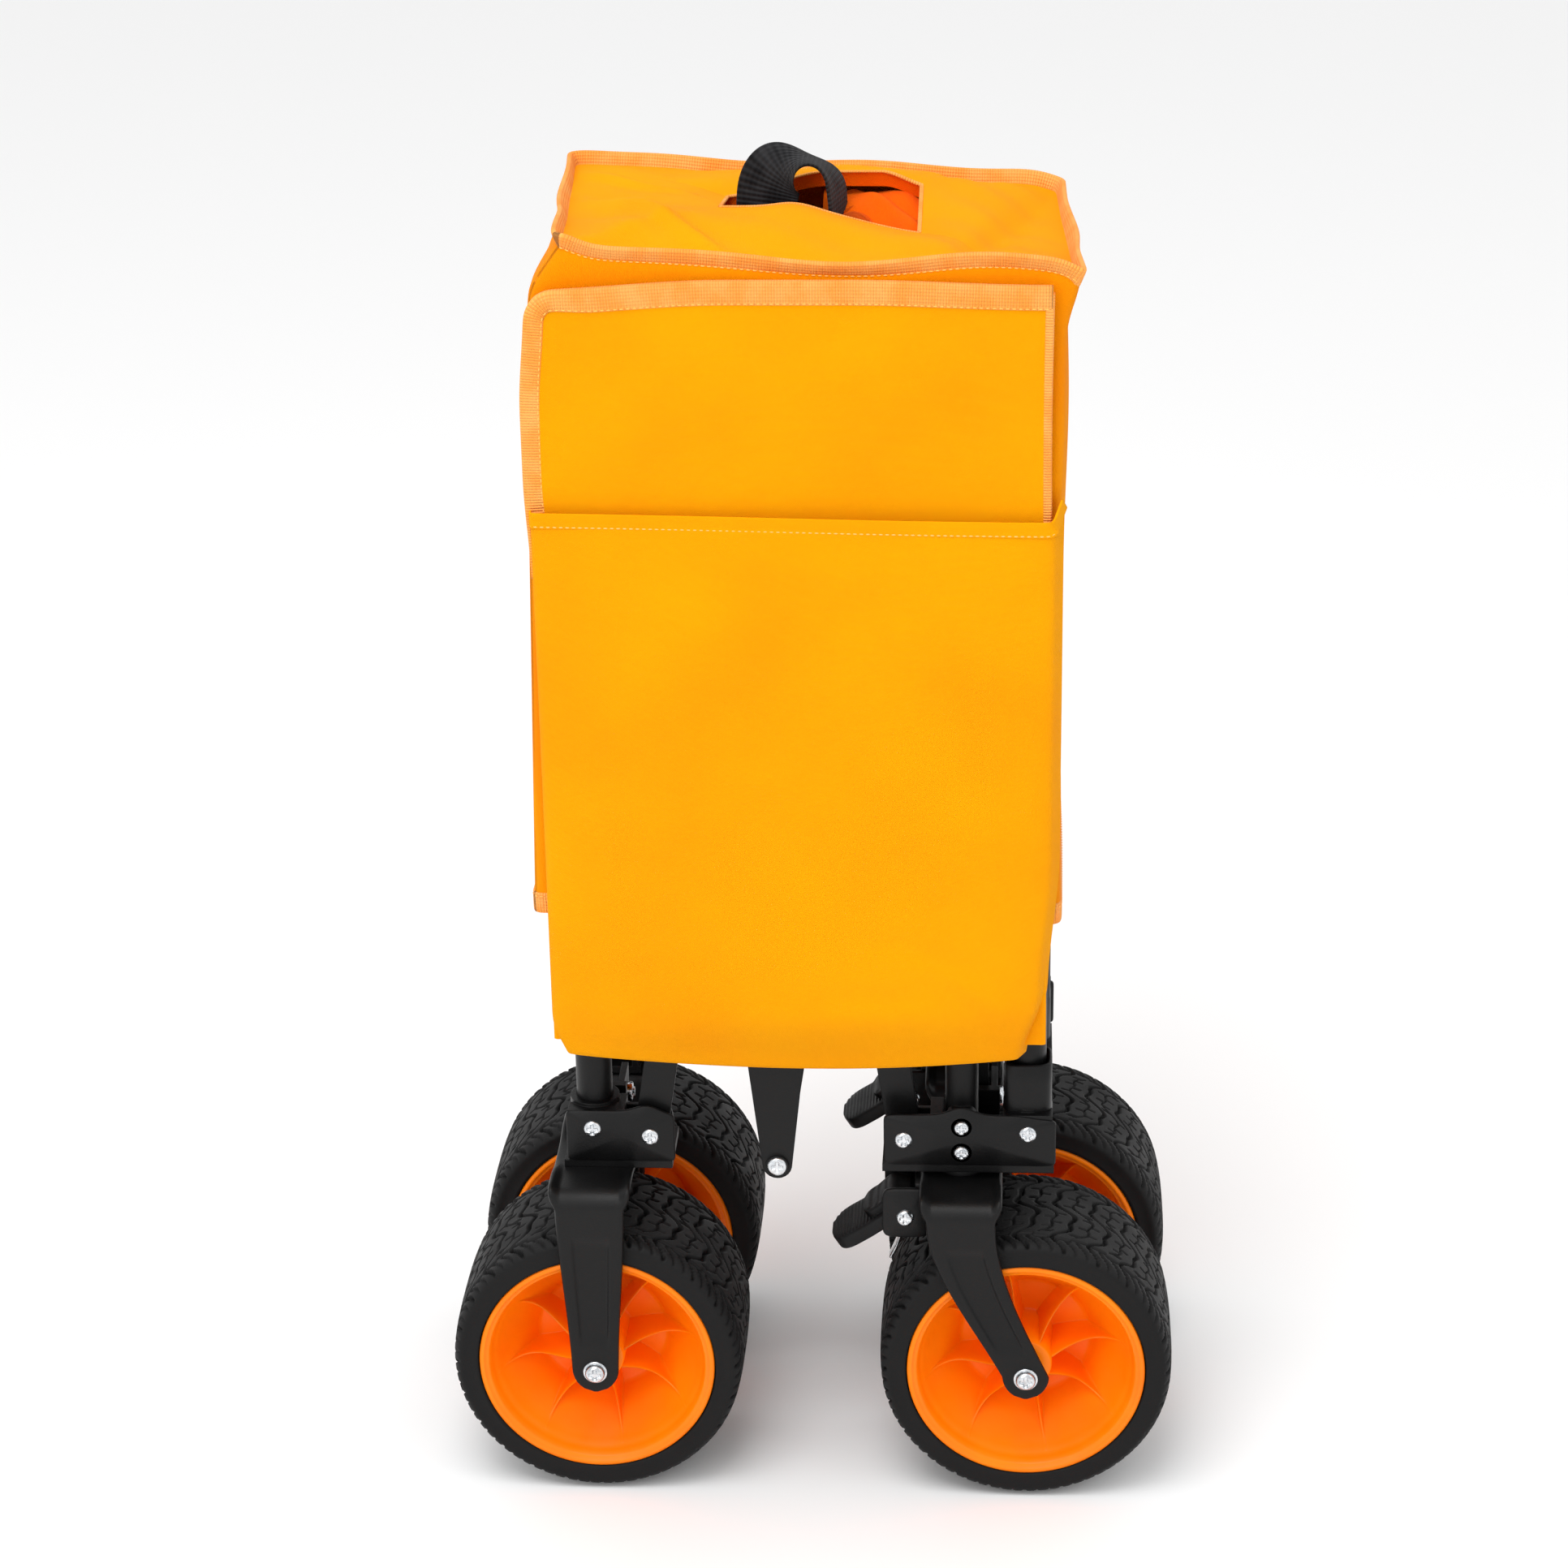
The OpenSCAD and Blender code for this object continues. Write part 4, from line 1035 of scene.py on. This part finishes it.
def panel_left(z):
    """Left edge: leaning out a little towards the middle, round at the top corner."""
    up = np.clip((z - (PANEL_TOP - 15)) / 15, 0, 1)
    lean = -153.5 + 4.5 * smooth(z, 700, 768) + 2.5 * smooth(-z, -660, -600)
    return lean + 15 * (1 - np.sqrt(1 - np.minimum(up, 0.999) ** 2))


def panel_right(z):
    return 141.5 + 0.6 * np.sin(z / 40)


def panel_edge_lift(x):
    """The top edge rises from left to middle and falls slightly again."""
    return -3.5 + 5.5 * smooth(x, -150, -40) - 3 * smooth(x, 30, 140)


round_over = PANEL_TOP - 16 * np.linspace(0.95, 0, 16) ** 1.3
pz = np.concatenate([np.linspace(panel_low[2] + 2, PANEL_TOP - 16, 60), round_over])
loop = np.linspace(0, TAU, 220, endpoint=False)[:, None]
c, q = np.cos(loop), np.sin(loop)
flat_x = np.sign(c) * np.abs(c) ** 0.7
side = np.sign(q) * np.minimum(np.abs(q) * 5, 1) ** 0.5
px = (panel_left(pz) + panel_right(pz))[None] / 2 + flat_x * (panel_right(pz) - panel_left(pz))[None] / 2
soft_y = 0.7 * np.sin(px / 55 + pz / 90) * np.sin(pz / 47)
soft_y = soft_y - 0.8 * crease(px, pz, -40, 700, 70, 10, 24)
thin = np.concatenate([np.ones(len(pz) - 3), [0.9, 0.65, 0.15]])
py = PANEL_Y + side * 2.3 * thin + np.where(side < 0, soft_y * smooth(770 - pz, 0, 30), 0)
ppz = pz[None] + panel_edge_lift(px) * smooth(pz, 640, 768)
panel_points = np.stack([px, py, ppz], -1)
panel_uv = np.stack([px * MM, ppz * MM], -1)
panel = piece("front_panel", [grid(panel_points, wrap_u=True, uv=panel_uv)], hood_cloth, "panel",
              ["stiff_panel"])

corner_z = PANEL_TOP - 15 + 15 * np.sin(np.linspace(0.06, 1.5, 14))
tz = np.concatenate([np.linspace(600, PANEL_TOP - 15, 50), corner_z])
lx = panel_left(tz)
left_path = np.stack([lx, PANEL_Y + 0 * tz, tz + panel_edge_lift(lx) * smooth(tz, 640, 768)], -1)
tx = np.linspace(float(lx[-1]) + 3, 141.5, 90)
top_path = np.stack([tx, PANEL_Y + 0 * tx, PANEL_TOP + panel_edge_lift(tx)], -1)
bound = soften(np.vstack([left_path, top_path]), 5, closed=False)
t = tangents(bound, False)
inward = np.stack([t[:, 2], 0 * t[:, 1], -t[:, 0]], -1)
width = 11.5 + 2 * smooth(bound[:, 0], -140, -110)
tape_path = bound + inward * (width / 2 - 1.2)[:, None]
edge = ribbon(tape_path, inward, width, 6.6, square=0.28, count=20)
rz = np.linspace(600, PANEL_TOP - 3, 60)
right_z = rz + panel_edge_lift(panel_right(rz)) * smooth(rz, 640, 768)
right_path = np.stack([panel_right(rz) - 1.6, PANEL_Y + 0 * rz, right_z], -1)
right_tape = ribbon(right_path, (1, 0, 0), 5.0, 6.4, square=0.4)
panel_tape = piece("panel_binding", [edge, right_tape], binding_tape, "panel")
inner_line = bound + inward * (width - 0.6)[:, None] + np.array([0, -3.1, 0])
panel_stitch = stitches(inner_line - inward * 1.6, (0, -1, 0), radius=0.36)
piece("panel_stitches", [panel_stitch], thread_finish, "panel")
print("panel and binding:", len(panel.data.polygons), len(panel_tape.data.polygons))

# %% [markdown]
# ## The folded tub and its pull strap
# Under the hood the tub is a bundle: its side is a rounded rectangle whose outline goes in and out where
# the cloth is pleated. The top is gathered in folds towards the strap. The strap is a band of webbing.
# It leaves the bundle, turns over and goes back, and it is twisted, so its width turns on the way.

# %% Tub and strap
tub_low, tub_high = (np.array(c) * 1000 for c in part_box("tub_fabric"))
tub_mid = (tub_low + tub_high) / 2
tub_half = (tub_high - tub_low) / 2
around = np.linspace(0, TAU, 300, endpoint=False)[:, None]
c, q = np.cos(around), np.sin(around)
ring_x = np.sign(c) * np.abs(c) ** 0.32
ring_y = np.sign(q) * np.abs(q) ** 0.42
up = np.linspace(0, 1, 70)[None]
height = tub_low[2] + (tub_high[2] - 6 - tub_low[2]) * up
pleat = 0.035 * np.abs(np.sin(11 * around + 1.5 * np.sin(4 * up))) + 0.02 * np.sin(23 * around - 5 * up)
squeeze = (1 - pleat) * (1 - 0.06 * (2 * up - 1) ** 4)
body_x = tub_mid[0] + tub_half[0] * ring_x * squeeze
body_y = tub_mid[1] + tub_half[1] * ring_y * squeeze
body_points = np.stack([body_x, body_y, height + 0 * around], -1)
inwards = np.linspace(0, 1, 44)[1:][None]
gather = np.array([8.0, 6.0])
edge_xy = body_points[:, -1:, :2]
top_xy = edge_xy * (1 - inwards[..., None]) + (gather + 0 * edge_xy) * inwards[..., None]
fold_wave = 7 * np.abs(np.sin(5 * around + 2.5 * inwards)) + 3 * np.sin(9 * around - 6 * inwards)
rise = 27 * smooth(inwards, 0.05, 0.75) + fold_wave * np.sin(math.pi * inwards) * 0.9
rise = rise + 6 * bump(top_xy[..., 0], 50, 26) * bump(top_xy[..., 1], 12, 34)
top_points = np.concatenate([top_xy, (height[:, -1:] + rise)[..., None]], -1)
under_xy = body_points[:, :1, :2]
shrink = np.linspace(0.02, 1, 14)[None, :, None]
under_points = np.concatenate([under_xy * shrink + tub_mid[:2] * (1 - shrink),
                               (tub_low[2] + 5 * (1 - shrink[..., 0]) * np.sin(6 * around))[..., None]], -1)
tub_points = np.concatenate([under_points, body_points[:, 1:], top_points], 1)
tub_uv = np.stack(np.broadcast_arrays(around * 0.09, np.linspace(0, 0.6, tub_points.shape[1])[None]), -1)
tub = piece("tub_bundle", [grid(tub_points, wrap_u=True, uv=tub_uv)], tub_cloth, "tub", ["tub_fabric"])

fx, fy = np.meshgrid(np.linspace(9, 75, 60), np.linspace(-26, 46, 70), indexing="ij")
fold_z = 768 + 13.5 * smooth(fy, -20, 34) - 5 * smooth(fx, 55, 74)
fold_z = fold_z + 3.2 * np.abs(np.sin((fx + 1.3 * fy) / 13)) + 1.5 * np.sin((fx - fy) / 9)
fold_z = fold_z + 4 * bump(fx + 0.8 * fy, 62, 7)
fold_grid = grid(np.stack([fx, fy, fold_z], -1), uv=np.stack([fx, fy], -1) * MM)
fold = piece("tub_top_fold", [fold_grid], tub_cloth, "tub")
s = np.linspace(-0.14, 1.14, 120)
arc = np.clip(s, 0, 1)
leg = 46 * (np.clip(-s, 0, 1) + np.clip(s - 1, 0, 1)) / 0.2
strap_x = -1.75 - 20.5 * np.cos(math.pi * arc)
strap_z = 780 + 32 * np.sin(math.pi * arc) ** 0.62 - leg
strap_path = np.stack([strap_x, 6 + 2 * np.sin(math.pi * arc), strap_z], -1)
strap_path = soften(strap_path, 6, closed=False)
twist = np.radians(72 - 84 * smooth(s, 0.1, 0.95))
strap_across = np.stack([-np.sin(twist), np.cos(twist), 0 * s], -1)
strap_band = ribbon(strap_path, strap_across, 38, 2.2, square=0.35, count=24)
strap = piece("pull_webbing", [strap_band], black_webbing, "tub", ["pull_strap"])
print("strap length", round(float(along(strap_path)[-1]), 1), "mm")

# %% [markdown]
# ## Stage, light and camera
# A plain pale floor and a soft, nearly white surround, as in a studio for catalogue pictures. Two large
# lamps from above give a gentle shape. The camera looks slightly down from the front right.

# %% Stage
floor_mesh = bpy.data.meshes.new("floor")
floor_mesh.from_pydata([(-30, -30, 0), (30, -30, 0), (30, 30, 0), (-30, 30, 0)], [], [(0, 1, 2, 3)])
floor = bpy.data.objects.new("floor", floor_mesh)
bpy.context.scene.collection.objects.link(floor)
floor_mesh.materials.append(Finish("pale_floor", (0.93, 0.93, 0.93), 0.6).material)

world = bpy.data.worlds.new("studio")
world.use_nodes = True
world.node_tree.nodes["Background"].inputs["Color"].default_value = (1, 1, 1, 1)
world.node_tree.nodes["Background"].inputs["Strength"].default_value = 0.92
bpy.context.scene.world = world
bpy.context.scene.view_settings.view_transform = "Standard"


def lamp(name, place, aim, size, power):
    """A square area lamp at place, facing aim."""
    data = bpy.data.lights.new(name, "AREA")
    data.size = size
    data.energy = power
    lamp_object = bpy.data.objects.new(name, data)
    bpy.context.scene.collection.objects.link(lamp_object)
    lamp_object.location = place
    lamp_object.rotation_euler = (Vector(aim) - Vector(place)).to_track_quat("-Z", "Y").to_euler()
    return lamp_object


lamp("top_lamp", (-0.5, -1.3, 3.2), (0, 0, 0.35), 1.8, 48)
lamp("front_lamp", (-1.1, -2.8, 1.9), (0, 0, 0.4), 1.6, 16)
lamp("side_lamp", (2.4, -1.2, 1.9), (0, 0, 0.4), 1.4, 4)

# %% Camera
AIM = Vector((-0.018, 0.0, 0.427))
CAMERA_AZIMUTH = math.radians(3.75)
CAMERA_ELEVATION = math.radians(22.88)
CAMERA_ROLL = math.radians(-1.03)
CAMERA_DISTANCE = 2.311
LENS_MM = 86.9
away = Vector((math.sin(CAMERA_AZIMUTH) * math.cos(CAMERA_ELEVATION),
               -math.cos(CAMERA_AZIMUTH) * math.cos(CAMERA_ELEVATION), math.sin(CAMERA_ELEVATION)))
camera_data = bpy.data.cameras.new("camera")
camera_data.lens = LENS_MM
camera_data.sensor_width = 36
camera_data.clip_end = 100
camera = bpy.data.objects.new("camera", camera_data)
bpy.context.scene.collection.objects.link(camera)
turn_to = (-away).to_track_quat("-Z", "Y").to_matrix().to_4x4()
roll = Matrix.Rotation(CAMERA_ROLL, 4, "Z")
camera.matrix_world = Matrix.Translation(AIM + away * CAMERA_DISTANCE) @ turn_to @ roll
bpy.context.scene.camera = camera
print("camera at", [round(v, 3) for v in camera.matrix_world.translation])
